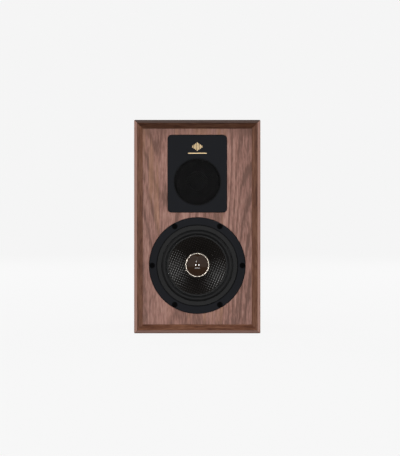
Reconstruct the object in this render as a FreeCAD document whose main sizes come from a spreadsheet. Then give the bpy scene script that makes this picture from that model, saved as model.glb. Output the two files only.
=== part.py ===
"""A passive two-way bookshelf loudspeaker with a walnut cabinet, as a parametric FreeCAD document.

The part's frame: +Z up, the listener on the -Y side, origin at the middle of the cabinet's underside.
Each sub-part is drawn in a local frame whose x runs right, y up and z out of the cabinet, as seen
by somebody who faces it, and its Placement turns that frame to the front or to the rear.
"""

import FreeCAD, Part
import math
import os
import re

import Sketcher

VECTOR = FreeCAD.Vector

# Every driving dimension, in millimetres or degrees. A comment heads each group.
SIZES = {
    # cabinet
    "cab_width": 200,
    "cab_height": 338,
    "cab_depth": 275,
    "wall": 13.4,
    "corner_round": 1.5,
    # mitred trim in front of the walls, bevelled down to the baffle
    "trim_depth": 10,
    "trim_face": 4.6,
    "trim_step": 1.6,
    "trim_round": 1.8,
    # baffle, rear panel, brace and wadding
    "baffle_thick": 18,
    "rear_thick": 15,
    "rear_inset": 1,
    "brace_thick": 12,
    "brace_rim": 18,
    "brace_bar": 30,
    "brace_bar_height": 185,
    "brace_setback": 110,
    "brace_window_round": 12,
    "wadding_thick": 18,
    "wadding_gap": 0.3,
    "wadding_margin": 6,
    # woofer: place, flange and frame
    "woofer_height": 107,
    "woofer_flange_radius": 76.5,
    "woofer_flange_inner": 64.5,
    "woofer_flange_edge": 0.8,
    "driver_proud": 0.5,
    "woofer_flange_thick": 4.5,
    "woofer_ledge_drop": 2,
    "woofer_ledge_inner": 57.5,
    "frame_wall": 2.5,
    "frame_front_radius": 63,
    "frame_front_depth": 10,
    "frame_rear_radius": 47,
    "frame_rear_depth": 31,
    "frame_end_depth": 37,
    "frame_hole_radius": 26,
    "spider_ledge_depth": 29.5,
    "spider_ledge_inner": 38,
    "frame_windows": 8,
    "window_half_angle": 15,
    "window_inner": 48.5,
    "window_outer": 61,
    "window_top_depth": 9,
    "rebate_gap": 0.5,
    "gasket_thick": 1,
    "woofer_hole_radius": 66.5,
    # woofer screws
    "woofer_screws": 6,
    "woofer_screw_circle": 71.8,
    "woofer_sink_radius": 4,
    "woofer_sink_depth": 2.4,
    "woofer_head_radius": 3.5,
    "woofer_head_thick": 2.2,
    "woofer_shank_radius": 1.9,
    "woofer_screw_length": 14,
    "socket_radius": 1.7,
    "socket_depth": 1.4,
    "screw_gap": 0.2,
    # woofer moving parts
    "surround_thick": 0.9,
    "surround_outer": 63.7,
    "roll_outer": 57.2,
    "roll_inner": 48.3,
    "roll_rise": 4,
    "surround_lip": 46.3,
    "cone_rim_outer": 48.9,
    "cone_rim_inner": 46,
    "cone_thick": 0.8,
    "cone_neck_depth": 23.5,
    "coil_inner": 16,
    "coil_former_wall": 0.3,
    "coil_former_end": 47,
    "coil_winding_wall": 0.9,
    "coil_winding_start": 33,
    "cap_ring_outer": 19.4,
    "cap_ring_inner": 17.7,
    "cap_ring_height": 0.9,
    "cap_ring_crown": 0.5,
    "dust_cap_rise": 4.6,
    "dust_cap_wall": 0.7,
    "dust_cap_seat": 0.9,
    "dust_cap_gap": 0.05,
    "spider_collar": 18.5,
    "spider_outer": 43.5,
    "spider_wave": 1.2,
    "spider_thick": 0.5,
    "tinsel_radius": 0.6,
    "tinsel_start": 25,
    "tinsel_run_depth": 22.5,
    "tinsel_bend": 3,
    "tinsel_end_depth": 35,
    # woofer motor
    "plate_thick": 6,
    "plate_inner": 18,
    "plate_outer": 44,
    "magnet_thick": 15,
    "magnet_inner": 24,
    "magnet_outer": 46,
    "pole_radius": 15.5,
    "pole_vent": 5,
    # woofer terminals
    "tag_board_thick": 1.6,
    "tag_board_width": 20,
    "tag_board_gap": 0.2,
    "tag_board_start": 31.2,
    "tag_board_end": 44,
    "tag_spacing": 10.8,
    "tag_width": 4.8,
    "tag_thick": 0.8,
    "tag_start": 33,
    "tag_end": 46.5,
    # tweeter: place, faceplate, mesh and badge
    "tweeter_height": 240,
    "face_width": 94,
    "face_height": 123,
    "face_rise": 13,
    "face_corner": 6,
    "face_thick": 3.5,
    "face_edge": 0.7,
    "mesh_opening": 37.5,
    "mesh_rim_inner": 37,
    "mesh_rim_outer": 39.3,
    "mesh_rim_drop": 1.5,
    "mesh_seat_gap": 0.2,
    "mesh_thick": 0.6,
    "mesh_rise": 4.5,
    "badge_thick": 0.25,
    "badge_height": 56,
    "badge_bar_width": 1.3,
    "badge_bar_pitch": 2.4,
    "badge_bar_tall": 13,
    "badge_bar_step": 3.2,
    "badge_line_width": 30,
    "badge_line_height": 1.3,
    "badge_line_drop": 10.5,
    # tweeter chassis, diaphragm and motor
    "chassis_inset": 0.5,
    "chassis_plate": 3.5,
    "chassis_boss": 36,
    "chassis_boss_depth": 12,
    "horn_mouth": 37,
    "horn_throat": 17.5,
    "horn_throat_depth": 8.5,
    "horn_curve": 40,
    "chassis_seat_radius": 30.3,
    "diaphragm_depth": 9.5,
    "carrier_outer": 29.6,
    "carrier_inner": 16.8,
    "carrier_thick": 0.8,
    "dome_radius": 13.2,
    "dome_rise": 5.6,
    "dome_wall": 0.4,
    "dome_roll_rise": 1.2,
    "dome_skin": 0.35,
    "tweeter_coil_inner": 12.1,
    "tweeter_coil_wall": 0.2,
    "tweeter_coil_length": 5,
    "tweeter_winding_wall": 0.5,
    "tweeter_winding_length": 2.6,
    "tweeter_plate_inner": 13.3,
    "tweeter_plate_outer": 30,
    "tweeter_plate_thick": 3,
    "tweeter_magnet_inner": 17,
    "tweeter_magnet_thick": 10,
    "tweeter_yoke_outer": 29,
    "tweeter_yoke_thick": 4,
    "tweeter_pole": 11.6,
    "tweeter_vent": 4,
    "chamber_outer": 24,
    "chamber_wall": 2,
    "chamber_length": 20,
    "tweeter_hole_radius": 38.5,
    "tweeter_screw_across": 40,
    "tweeter_screw_up": 54,
    "tweeter_sink_radius": 3.5,
    "tweeter_sink_depth": 2.2,
    "tweeter_head_radius": 3.3,
    "tweeter_head_thick": 2,
    "tweeter_shank_radius": 1.6,
    "tweeter_screw_length": 12.5,
    "tweeter_tag_drop": 33.1,
    "tweeter_tag_board": 4.6,
    "tweeter_tag_board_width": 18,
    "tweeter_tag_spacing": 8,
    "tweeter_tag_width": 2.8,
    "tweeter_tag_thick": 0.5,
    "tweeter_tag_length": 8,
    # reflex ports
    "port_height": 262,
    "port_spread": 42,
    "port_radius": 17.5,
    "port_wall": 2.4,
    "port_length": 115,
    "port_flare": 10.5,
    "port_flange": 30,
    "port_flange_thick": 2.5,
    "port_edge": 0.6,
    "port_collar": 23.5,
    "port_collar_depth": 12,
    "port_hole_gap": 0.3,
    # terminal cup and its screws
    "cup_height": 75,
    "cup_plate_width": 116,
    "cup_plate_tall": 84,
    "cup_plate_thick": 2.5,
    "cup_plate_edge": 0.8,
    "cup_corner": 6,
    "cup_width": 96,
    "cup_tall": 64,
    "cup_wall": 2.5,
    "cup_depth": 15,
    "cup_floor": 3,
    "cup_gap": 0.5,
    "cup_screw_across": 53,
    "cup_screw_up": 37,
    "cup_screw_radius": 1.6,
    "cup_screw_head": 3,
    "cup_screw_head_thick": 1.6,
    "cup_screw_length": 13,
    "cross_length": 3.2,
    "cross_width": 0.8,
    "cross_depth": 1,
    # binding posts, measured from the cup's floor
    "post_across": 14,
    "post_up": 16,
    "stud_radius": 3,
    "stud_hole_gap": 0.15,
    "stud_inner_length": 12,
    "stud_outer_length": 25,
    "thread_gap": 0.05,
    "banana_radius": 2.05,
    "banana_length": 14.8,
    "wire_hole_radius": 1.3,
    "wire_hole_height": 8.3,
    "bush_radius": 7.5,
    "bush_thick": 4,
    "shoulder_radius": 5.5,
    "shoulder_thick": 1.5,
    "link_thick": 1,
    "link_width": 10,
    "link_corner": 4,
    "washer_radius": 7,
    "washer_thick": 1,
    "knob_radius": 7.5,
    "knob_length": 19.5,
    "knob_edge": 0.8,
    "knob_end_wall": 1.5,
    "knob_end_hole": 2.4,
    "knob_flutes": 12,
    "knob_flute_radius": 1,
    "knob_flute_depth": 0.5,
    "knob_collar": 3,
    "nut_radius": 5,
    "spacer_nut": 3.5,
    "lock_nut": 2.4,
    # crossover
    "board_width": 94,
    "board_tall": 62,
    "board_thick": 1.6,
    "board_hole_gap": 0.3,
    "choke_across": 32.5,
    "choke_outer": 14,
    "choke_inner": 7,
    "choke_tall": 20,
    "small_choke_outer": 12,
    "small_choke_tall": 14,
    "capacitor_radius": 7.4,
    "capacitor_length": 38,
    "small_capacitor_radius": 4.4,
    "small_capacitor_length": 20,
    "small_capacitor_across": 31,
    "small_capacitor_up": 23,
    "resistor_side": 7,
    "resistor_length": 22,
    "resistor_across": 25,
    "resistor_up": 26.5,
    # leads inside the cabinet
    "lead_radius": 1.2,
    "woofer_lead_bend": 5,
    "woofer_lead_drop": 10.3,
    "woofer_lead_turn": 21,
    "tweeter_lead_bend": 20,
    "tweeter_lead_up": 26,
    "tweeter_lead_turn": 62,
}

DOC = FreeCAD.newDocument("BookshelfSpeaker")
SHEET = DOC.addObject("Spreadsheet::Sheet", "Sizes")
for row, (alias, size) in enumerate(SIZES.items(), start=1):
    SHEET.set(f"A{row}", alias)
    SHEET.set(f"B{row}", str(size))
    SHEET.setAlias(f"B{row}", alias)
DOC.recompute()

PARTS = {}
FRONT = FreeCAD.Rotation(VECTOR(1, 0, 0), VECTOR(0, 0, 1), VECTOR(0, -1, 0))
REAR = FreeCAD.Rotation(VECTOR(-1, 0, 0), VECTOR(0, 0, 1), VECTOR(0, 1, 0))
BAFFLE_FACE = "(trim_depth - cab_depth / 2)"
REAR_FACE = "(cab_depth / 2 - rear_inset)"
INSIDE_WIDTH = "(cab_width - 2 * wall)"
INSIDE_HEIGHT = "(cab_height - 2 * wall)"
MIDDLE = "(cab_height / 2)"


def tied(text):
    """The expression with every size's name pointed at the sheet."""
    return re.sub(r"[a-z_]+", lambda m: f"Sizes.{m[0]}" if m[0] in SIZES else m[0], str(text))


def number(text):
    """What an expression is worth at the sheet's present values."""
    return float(SHEET.evalExpression(tied(text)))


def bind(item, prop, text):
    item.setExpression(prop, tied(text))


def arc_radius(half, rise):
    """The radius of an arc from half its chord and its rise."""
    return f"((({half})^2 + ({rise})^2) / (2 * ({rise})))"


# ---------------------------------------------------------------- outlines


def place(sketch, edge, point, across, up):
    """Ties a sketch point to the sketch's origin."""
    for kind, text, axis in (("DistanceX", across, -2), ("DistanceY", up, -1)):
        size = number(text)
        if abs(size) < 1e-9:
            sketch.addConstraint(Sketcher.Constraint("PointOnObject", edge, point, axis))
            continue
        fix = sketch.addConstraint(Sketcher.Constraint(kind, -1, 1, edge, point, size))
        bind(sketch, f"Constraints[{fix}]", text)


def add_arc(sketch, start, end, radius_text, turn):
    """An arc of less than half a circle; returns its index and its first and last point."""
    radius = number(radius_text)
    across, up = end[0] - start[0], end[1] - start[1]
    chord = math.hypot(across, up)
    lean = math.sqrt(max(radius**2 - chord**2 / 4, 0)) * turn / chord
    centre = ((start[0] + end[0]) / 2 - up * lean, (start[1] + end[1]) / 2 + across * lean)
    first, last = (start, end) if turn > 0 else (end, start)
    angles = [math.atan2(p[1] - centre[1], p[0] - centre[0]) for p in (first, last)]
    if angles[1] < angles[0]:
        angles[1] += 2 * math.pi
    round_edge = Part.Circle(VECTOR(*centre, 0), VECTOR(0, 0, 1), radius)
    arc = sketch.addGeometry(Part.ArcOfCircle(round_edge, *angles), False)
    fix = sketch.addConstraint(Sketcher.Constraint("Radius", arc, radius))
    bind(sketch, f"Constraints[{fix}]", radius_text)
    return (arc, 1, 2) if turn > 0 else (arc, 2, 1)


def chain(*corners, closed=True):
    """A line through corners. A corner is (x, y), or (x, y, radius, turn) where the edge that arrives
    at it is an arc, turn +1 for counterclockwise and -1 for clockwise."""

    def draw(sketch):
        places = [(number(c[0]), number(c[1])) for c in corners]
        first = 0 if closed else 1
        ends = []
        for i in range(first, len(corners)):
            start, end = places[i - 1], places[i]
            if len(corners[i]) == 2:
                edge = Part.LineSegment(VECTOR(*start, 0), VECTOR(*end, 0))
                ends.append((sketch.addGeometry(edge, False), 1, 2))
            else:
                ends.append(add_arc(sketch, start, end, *corners[i][2:]))
        if not closed:
            place(sketch, ends[0][0], ends[0][1], *corners[0][:2])
        for (edge, _, tail), (following, head, _) in zip(ends, ends[1:] + ends[:1] * closed):
            sketch.addConstraint(Sketcher.Constraint("Coincident", edge, tail, following, head))
        for (edge, _, tail), corner in zip(ends, corners[first:]):
            place(sketch, edge, tail, *corner[:2])

    return draw


def circle(radius, across="0", up="0"):
    def draw(sketch):
        ring = Part.Circle(VECTOR(number(across), number(up), 0), VECTOR(0, 0, 1), number(radius))
        edge = sketch.addGeometry(ring, False)
        fix = sketch.addConstraint(Sketcher.Constraint("Radius", edge, number(radius)))
        bind(sketch, f"Constraints[{fix}]", radius)
        place(sketch, edge, 3, across, up)

    return draw


def rectangle(width, tall, across="0", up="0", corner=None):
    """A rectangle about its middle, with rounded corners where a radius is given."""
    left, right = f"({across}) - ({width}) / 2", f"({across}) + ({width}) / 2"
    low, high = f"({up}) - ({tall}) / 2", f"({up}) + ({tall}) / 2"
    if corner is None:
        return chain((left, low), (right, low), (right, high), (left, high))
    return chain(
        (f"{left} + {corner}", low, corner, 1),
        (f"{right} - {corner}", low),
        (right, f"{low} + {corner}", corner, 1),
        (right, f"{high} - {corner}"),
        (f"{right} - {corner}", high, corner, 1),
        (f"{left} + {corner}", high),
        (left, f"{high} - {corner}", corner, 1),
        (left, f"{low} + {corner}"),
    )


def hexagon(radius, across="0", up="0"):
    """A nut's or a socket's outline, from its corner radius."""
    turns = [60 * i for i in range(6)]
    return chain(*[(f"({across}) + {radius} * cos({t})", f"({up}) + {radius} * sin({t})") for t in turns])


def cross(across, up):
    """A cross recess for a screwdriver."""
    arms = [(1, 0, 0, 1), (0, 1, -1, 0), (-1, 0, 0, -1), (0, -1, 1, 0)]
    corners = []
    for x, y, nx, ny in arms:
        for far, near in ((1, -1), (1, 1), (0, 1)):
            reach = "cross_length / 2" if far else "cross_width / 2"
            corners.append(
                (
                    f"({across}) + {x} * {reach} + {near * nx} * cross_width / 2",
                    f"({up}) + {y} * {reach} + {near * ny} * cross_width / 2",
                )
            )
    return chain(*corners)


def sector(inner, outer, half):
    """A window between two radii, centred on the x axis."""
    return chain(
        (f"{inner} * cos({half})", f"-{inner} * sin({half})", inner, -1),
        (f"{outer} * cos({half})", f"-{outer} * sin({half})"),
        (f"{outer} * cos({half})", f"{outer} * sin({half})", outer, 1),
        (f"{inner} * cos({half})", f"{inner} * sin({half})"),
    )


def rolled_edge(outer, lip, top, land, skin, roll_outer, roll_inner, rise):
    """A flexible edge: a flat land, a half roll of even thickness and a flat lip at the middle."""
    half = f"(({roll_outer}) - ({roll_inner})) / 2"
    inner_rise = f"({rise}) - ({skin})"
    return chain(
        (outer, f"{top} - {land}"),
        (outer, top),
        (roll_outer, top),
        (roll_inner, top, arc_radius(half, rise), 1),
        (lip, top),
        (lip, f"{top} - {skin}"),
        (f"{roll_inner} + {skin}", f"{top} - {skin}"),
        (f"{roll_inner} + {skin}", top),
        (f"{roll_outer} - {skin}", top, arc_radius(f"{half} - {skin}", inner_rise), -1),
        (f"{roll_outer} - {skin}", f"{top} - {land}"),
    )


# ---------------------------------------------------------------- features


def body(label, frame, across="0", along="0", up="0"):
    """A new sub-part in a local frame with its origin at that place in the part's frame."""
    made = DOC.addObject("PartDesign::Body", label)
    made.Label = label
    made.AllowCompound = True
    made.Placement = FreeCAD.Placement(VECTOR(0, 0, 0), frame)
    for letter, text in (("x", across), ("y", along), ("z", up)):
        bind(made, f"Placement.Base.{letter}", text)
    PARTS[label] = made
    return made


def origin_item(owner, role):
    return next(f for f in owner.Origin.OriginFeatures if f.Role == role)


def sketch_on(owner, plane, offset, loops):
    sketch = owner.newObject("Sketcher::SketchObject", owner.Label + "_sketch")
    sketch.AttachmentSupport = [(origin_item(owner, plane), "")]
    sketch.MapMode = "FlatFace"
    bind(sketch, "AttachmentOffset.Base.z", offset)
    for loop in loops:
        loop(sketch)
    return sketch


def pad(owner, low, high, *loops, plane="XY_Plane"):
    """Adds the loops' area between two heights along the plane's normal."""
    made = owner.newObject("PartDesign::Pad", owner.Label + "_pad")
    made.Profile = sketch_on(owner, plane, low, loops)
    bind(made, "Length", f"({high}) - ({low})")
    return made


def pocket(owner, low, high, *loops, plane="XY_Plane"):
    """Cuts the loops' area away between two heights, and makes sure that something went."""
    DOC.recompute()
    before = owner.Shape.Volume
    made = owner.newObject("PartDesign::Pocket", owner.Label + "_pocket")
    made.Profile = sketch_on(owner, plane, high, loops)
    bind(made, "Length", f"({high}) - ({low})")
    DOC.recompute()
    if owner.Shape.Volume > before - 1e-3:
        raise RuntimeError(f"{made.Name} cuts nothing")
    return made


def turned(owner, *loops, kind="PartDesign::Revolution"):
    """Turns a profile of (radius, height) round the local z axis, to add or to cut."""
    made = owner.newObject(kind, owner.Label + "_turned")
    sketch = sketch_on(owner, "XZ_Plane", "0", loops)
    made.Profile = sketch
    made.ReferenceAxis = (sketch, ["V_Axis"])
    made.Angle = 360
    return made


def repeat_round(owner, features, count):
    """Repeats features round the local z axis."""
    made = owner.newObject("PartDesign::PolarPattern", owner.Label + "_round")
    made.Originals = features
    made.Axis = (origin_item(owner, "Z_Axis"), [""])
    made.Angle = 360
    bind(made, "Occurrences", count)
    owner.Tip = made
    return made


def round_front(owner, radius, height):
    """Rounds the outside edges that lie at that local height."""
    DOC.recompute()
    shape = owner.Tip.Shape
    reach = shape.BoundBox
    level = number(height)
    names = []
    for i, edge in enumerate(shape.Edges, start=1):
        box = edge.BoundBox
        flat = abs(box.ZMin - level) + abs(box.ZMax - level) < 1e-6
        gaps = (box.XMin - reach.XMin, reach.XMax - box.XMax, box.YMin - reach.YMin, reach.YMax - box.YMax)
        if flat and min(gaps) < 1e-6:
            names.append(f"Edge{i}")
    base = owner.Tip
    made = owner.newObject("PartDesign::Fillet", owner.Label + "_fillet")
    made.Base = (base, names)
    bind(made, "Radius", radius)
    return made


def heading(start, end):
    """Which way a level or upright run goes, as (-1, 0 or 1, -1, 0 or 1)."""
    return [0 if abs(b - a) < 1e-6 else int(math.copysign(1, b - a)) for a, b in zip(start, end)]


def square_path(bend, *corners):
    """An open path of level and upright runs whose corners are quarter arcs."""
    places = [(number(c[0]), number(c[1])) for c in corners]
    path = [corners[0]]
    for i in range(1, len(corners) - 1):
        into = heading(places[i - 1], places[i])
        out = heading(places[i], places[i + 1])
        turn = into[0] * out[1] - into[1] * out[0]
        x, y = corners[i]
        path.append((f"({x}) - {into[0]} * {bend}", f"({y}) - {into[1]} * {bend}"))
        path.append((f"({x}) + {out[0]} * {bend}", f"({y}) + {out[1]} * {bend}", bend, turn))
    path.append(corners[-1])
    return chain(*path, closed=False)


def wire(owner, radius, across, bend, *corners):
    """A round wire in the upright plane at that x; it leaves its first corner along the local z axis."""
    path = sketch_on(owner, "YZ_Plane", across, [square_path(bend, *corners)])
    section = sketch_on(owner, "XY_Plane", corners[0][1], [circle(radius, across, corners[0][0])])
    made = owner.newObject("PartDesign::AdditivePipe", owner.Label + "_pipe")
    made.Profile = section
    made.Spine = (path, [])
    return made


# ---------------------------------------------------------------- cabinet

SIDES = {
    "left": ("cab_height", "({v}) - cab_width / 2", "{u}", -1),
    "right": ("cab_height", "cab_width / 2 - ({v})", "{u}", 1),
    "bottom": ("cab_width", "({u}) - cab_width / 2", "{v}", 1),
    "top": ("cab_width", "({u}) - cab_width / 2", "cab_height - ({v})", -1),
}
WALL_NAMES = {
    "left": "left_side_panel",
    "right": "right_side_panel",
    "bottom": "bottom_panel",
    "top": "top_panel",
}


def mitred(side):
    """A wall's outline seen from the front: full length outside, 45 degree mitres at both ends."""
    length, across, up, turn = SIDES[side]
    nick = "corner_round * (1 - sqrt(0.5))"
    corners = [
        ("corner_round", "0", "corner_round", turn),
        (f"{length} - corner_round", "0"),
        (f"{length} - {nick}", nick, "corner_round", turn),
        (f"{length} - wall", "wall"),
        ("wall", "wall"),
        (nick, nick),
    ]
    return chain(*[(across.format(u=c[0], v=c[1]), up.format(u=c[0], v=c[1]), *c[2:]) for c in corners])


def cabinet_wall(side):
    wall = body(WALL_NAMES[side], FRONT, along=BAFFLE_FACE)
    pad(wall, "trim_depth - cab_depth", "0", mitred(side))


def front_trim(side):
    """Solid wood moulding: a narrow flat face, a rounded outer edge and a bevel that stops at a step."""
    trim = body(f"front_trim_{side}", FRONT, along="-cab_depth / 2")
    pad(trim, "-trim_depth", "0", mitred(side))
    start, sign, plane, low, high = {
        "left": ("-cab_width / 2", 1, "XZ_Plane", "-cab_height - 1", "1"),
        "right": ("cab_width / 2", -1, "XZ_Plane", "-cab_height - 1", "1"),
        "bottom": ("0", 1, "YZ_Plane", "-cab_width / 2 - 1", "cab_width / 2 + 1"),
        "top": ("cab_height", -1, "YZ_Plane", "-cab_width / 2 - 1", "cab_width / 2 + 1"),
    }[side]
    inward = f"{start} + {sign} *"
    bevel = chain(
        (f"{inward} trim_face", "0"),
        (f"{inward} wall", "0"),
        (f"{inward} wall", "trim_step - trim_depth"),
    )
    edge = chain(
        (start, "0"),
        (start, "-trim_round"),
        (f"{inward} trim_round", "0", "trim_round", -sign),
    )
    pocket(trim, low, high, bevel, plane=plane)
    pocket(trim, low, high, edge, plane=plane)


WOOFER_REBATE = "(woofer_flange_thick - driver_proud + gasket_thick)"
TWEETER_REBATE = "(face_thick - driver_proud + chassis_plate + gasket_thick)"


def four_places(across, up, middle="0"):
    return [(f"{x} * {across}", f"{middle} + {y} * {up}") for x in (-1, 1) for y in (-1, 1)]


def woofer_screw_places(middle="0"):
    """The screws' places; they are even round the circle, and the first is level with the axis."""
    turns = [f"{i} * 360 / woofer_screws" for i in range(round(number("woofer_screws")))]
    return [(f"woofer_screw_circle * cos({t})", f"{middle} + woofer_screw_circle * sin({t})") for t in turns]


def front_baffle():
    baffle = body("front_baffle", FRONT, along=BAFFLE_FACE)
    pad(baffle, "-baffle_thick", "0", rectangle(INSIDE_WIDTH, INSIDE_HEIGHT, up=MIDDLE))
    pocket(baffle, f"-{WOOFER_REBATE}", "0", circle("woofer_flange_radius + rebate_gap", up="woofer_height"))
    pocket(baffle, "-baffle_thick", f"-{WOOFER_REBATE}", circle("woofer_hole_radius", up="woofer_height"))
    plate = rectangle(
        "face_width + 2 * rebate_gap",
        "face_height + 2 * rebate_gap",
        up="tweeter_height + face_rise",
        corner="(face_corner + rebate_gap)",
    )
    pocket(baffle, f"-{TWEETER_REBATE}", "0", plate)
    pocket(baffle, "-baffle_thick", f"-{TWEETER_REBATE}", circle("tweeter_hole_radius", up="tweeter_height"))
    pilot = "woofer_shank_radius + screw_gap / 2"
    pilots = [circle(pilot, *spot) for spot in woofer_screw_places("woofer_height")]
    pocket(baffle, "-baffle_thick", f"-{WOOFER_REBATE}", *pilots)
    pilot = "tweeter_shank_radius + screw_gap / 2"
    spots = four_places("tweeter_screw_across", "tweeter_screw_up", "tweeter_height + face_rise")
    pocket(baffle, "-baffle_thick", f"-{TWEETER_REBATE}", *[circle(pilot, *spot) for spot in spots])


def back_panel():
    panel = body("back_panel", REAR, along=REAR_FACE)
    pad(panel, "-rear_thick", "0", rectangle(INSIDE_WIDTH, INSIDE_HEIGHT, up=MIDDLE))
    ports = [circle("port_collar + port_hole_gap", f"{s} * port_spread", "port_height") for s in (-1, 1)]
    pocket(panel, "-rear_thick", "0", *ports)
    cup = rectangle("cup_width + 2 * cup_gap", "cup_tall + 2 * cup_gap", up="cup_height", corner="cup_corner")
    pocket(panel, "-rear_thick", "0", cup)
    spots = four_places("cup_screw_across", "cup_screw_up", "cup_height")
    pocket(panel, "-rear_thick", "0", *[circle("cup_screw_radius + screw_gap / 2", *spot) for spot in spots])


BRACE_FRONT = "(brace_setback - cab_depth / 2)"


def window_brace():
    """A board across the cabinet's middle with two windows and a crossbar between the drivers."""
    brace = body("window_brace", FRONT, along=BRACE_FRONT)
    pad(brace, "-brace_thick", "0", rectangle(INSIDE_WIDTH, INSIDE_HEIGHT, up=MIDDLE))
    width = f"({INSIDE_WIDTH} - 2 * brace_rim)"
    for low, high in (
        ("(wall + brace_rim)", "(brace_bar_height - brace_bar / 2)"),
        ("(brace_bar_height + brace_bar / 2)", "(cab_height - wall - brace_rim)"),
    ):
        window = rectangle(width, f"({high} - {low})", up=f"({high} + {low}) / 2", corner="brace_window_round")
        pocket(brace, "-brace_thick", "0", window)


def damping_wadding():
    """Fibre slabs on the side walls and under the top, between the brace and the rear panel."""
    pads = body("damping_wadding", FRONT)
    start = f"({REAR_FACE} - rear_thick - wadding_margin)"
    end = f"({BRACE_FRONT} + brace_thick + wadding_margin)"
    tall = f"({INSIDE_HEIGHT} - 2 * wadding_gap)"
    reach = f"({INSIDE_WIDTH} / 2 - wadding_gap - wadding_thick / 2)"
    slabs = [rectangle("wadding_thick", tall, f"{s} * {reach}", MIDDLE) for s in (-1, 1)]
    width = f"({INSIDE_WIDTH} - 2 * wadding_thick - 2 * wadding_margin)"
    slabs.append(rectangle(width, "wadding_thick", up="cab_height - wall - wadding_gap - wadding_thick / 2"))
    pad(pads, f"-{start}", f"-{end}", *slabs)


# ---------------------------------------------------------------- woofer
# Heights are in front of the baffle's face, so what lies inside the cabinet has a minus sign.

FLANGE_BACK = "(driver_proud - woofer_flange_thick)"
LEDGE = "(driver_proud - woofer_ledge_drop)"
NECK = "(coil_inner + coil_former_wall)"
CONE_SLOPE = f"(({LEDGE} + cone_neck_depth) / (cone_rim_inner - {NECK}))"
PLATE_BACK = "(-frame_end_depth - plate_thick)"
MAGNET_BACK = "(-frame_end_depth - plate_thick - magnet_thick)"


def woofer_body(label):
    return body(label, FRONT, along=BAFFLE_FACE, up="woofer_height")


def cone_height(radius):
    """The height of the cone's front face at a radius."""
    return f"((({radius}) - {NECK}) * {CONE_SLOPE} - cone_neck_depth)"


def woofer_frame():
    """Cast basket: flange, open conical wall, a ledge for the spider and the seat of the motor."""
    frame = woofer_body("woofer_frame")
    profile = chain(
        ("woofer_flange_inner", "driver_proud"),
        ("woofer_flange_radius - woofer_flange_edge", "driver_proud"),
        ("woofer_flange_radius", "driver_proud - woofer_flange_edge", "woofer_flange_edge", -1),
        ("woofer_flange_radius", FLANGE_BACK),
        ("frame_front_radius + frame_wall", FLANGE_BACK),
        ("frame_front_radius", "-frame_front_depth"),
        ("frame_rear_radius", "-frame_rear_depth"),
        ("frame_rear_radius", "-frame_end_depth"),
        ("frame_hole_radius", "-frame_end_depth"),
        ("frame_hole_radius", "frame_wall - frame_end_depth"),
        ("spider_ledge_inner", "frame_wall - frame_end_depth"),
        ("spider_ledge_inner", "-spider_ledge_depth"),
        ("frame_rear_radius - frame_wall", "-spider_ledge_depth"),
        ("frame_front_radius - frame_wall", "-frame_front_depth"),
        ("frame_front_radius - frame_wall", FLANGE_BACK),
        ("woofer_ledge_inner", FLANGE_BACK),
        ("woofer_ledge_inner", LEDGE),
        ("woofer_flange_inner", LEDGE),
    )
    turned(frame, profile)
    window = sector("window_inner", "window_outer", "window_half_angle")
    cut = pocket(frame, "-spider_ledge_depth", "-window_top_depth", window)
    repeat_round(frame, [cut], "frame_windows")
    seat = "driver_proud - woofer_sink_depth"
    sink = pocket(frame, seat, "driver_proud", circle("woofer_sink_radius", "woofer_screw_circle"))
    bore = circle("woofer_shank_radius + screw_gap", "woofer_screw_circle")
    hole = pocket(frame, FLANGE_BACK, seat, bore)
    repeat_round(frame, [sink, hole], "woofer_screws")


def woofer_gasket():
    gasket = woofer_body("woofer_gasket")
    back = f"-{WOOFER_REBATE}"
    pad(gasket, back, FLANGE_BACK, circle("woofer_flange_radius"), circle("woofer_hole_radius"))
    hole = pocket(gasket, back, FLANGE_BACK, circle("woofer_shank_radius + screw_gap", "woofer_screw_circle"))
    repeat_round(gasket, [hole], "woofer_screws")


def woofer_screws():
    screws = woofer_body("woofer_screws")
    seat = "(driver_proud - woofer_sink_depth)"
    top = f"({seat} + woofer_head_thick)"
    spots = woofer_screw_places()
    pad(screws, seat, top, *[circle("woofer_head_radius", *spot) for spot in spots])
    pad(screws, f"{seat} - woofer_screw_length", seat, *[circle("woofer_shank_radius", *spot) for spot in spots])
    pocket(screws, f"{top} - socket_depth", top, *[hexagon("socket_radius", *spot) for spot in spots])


def woofer_surround():
    surround = woofer_body("woofer_surround")
    top = f"({LEDGE} + surround_thick)"
    skin = "surround_thick"
    turned(
        surround,
        rolled_edge("surround_outer", "surround_lip", top, skin, skin, "roll_outer", "roll_inner", "roll_rise"),
    )


def woofer_cone():
    """Straight-sided cone of stiff woven cloth with a flat rim for the surround."""
    cone = woofer_body("woofer_cone")
    profile = chain(
        (NECK, "-cone_neck_depth"),
        ("cone_rim_inner", LEDGE),
        ("cone_rim_outer", LEDGE),
        ("cone_rim_outer", f"{LEDGE} - cone_thick"),
        ("cone_rim_inner + 0.4 * cone_thick", f"{LEDGE} - cone_thick"),
        (f"{NECK} + 0.6 * cone_thick", "-cone_neck_depth - 0.8 * cone_thick"),
        (NECK, "-cone_neck_depth - 0.8 * cone_thick"),
    )
    turned(cone, profile)


CAP_EDGE = "(cap_ring_inner - dust_cap_gap)"
CAP_BASE = f"({cone_height('cap_ring_outer')} + cap_ring_height / 2)"


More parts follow.
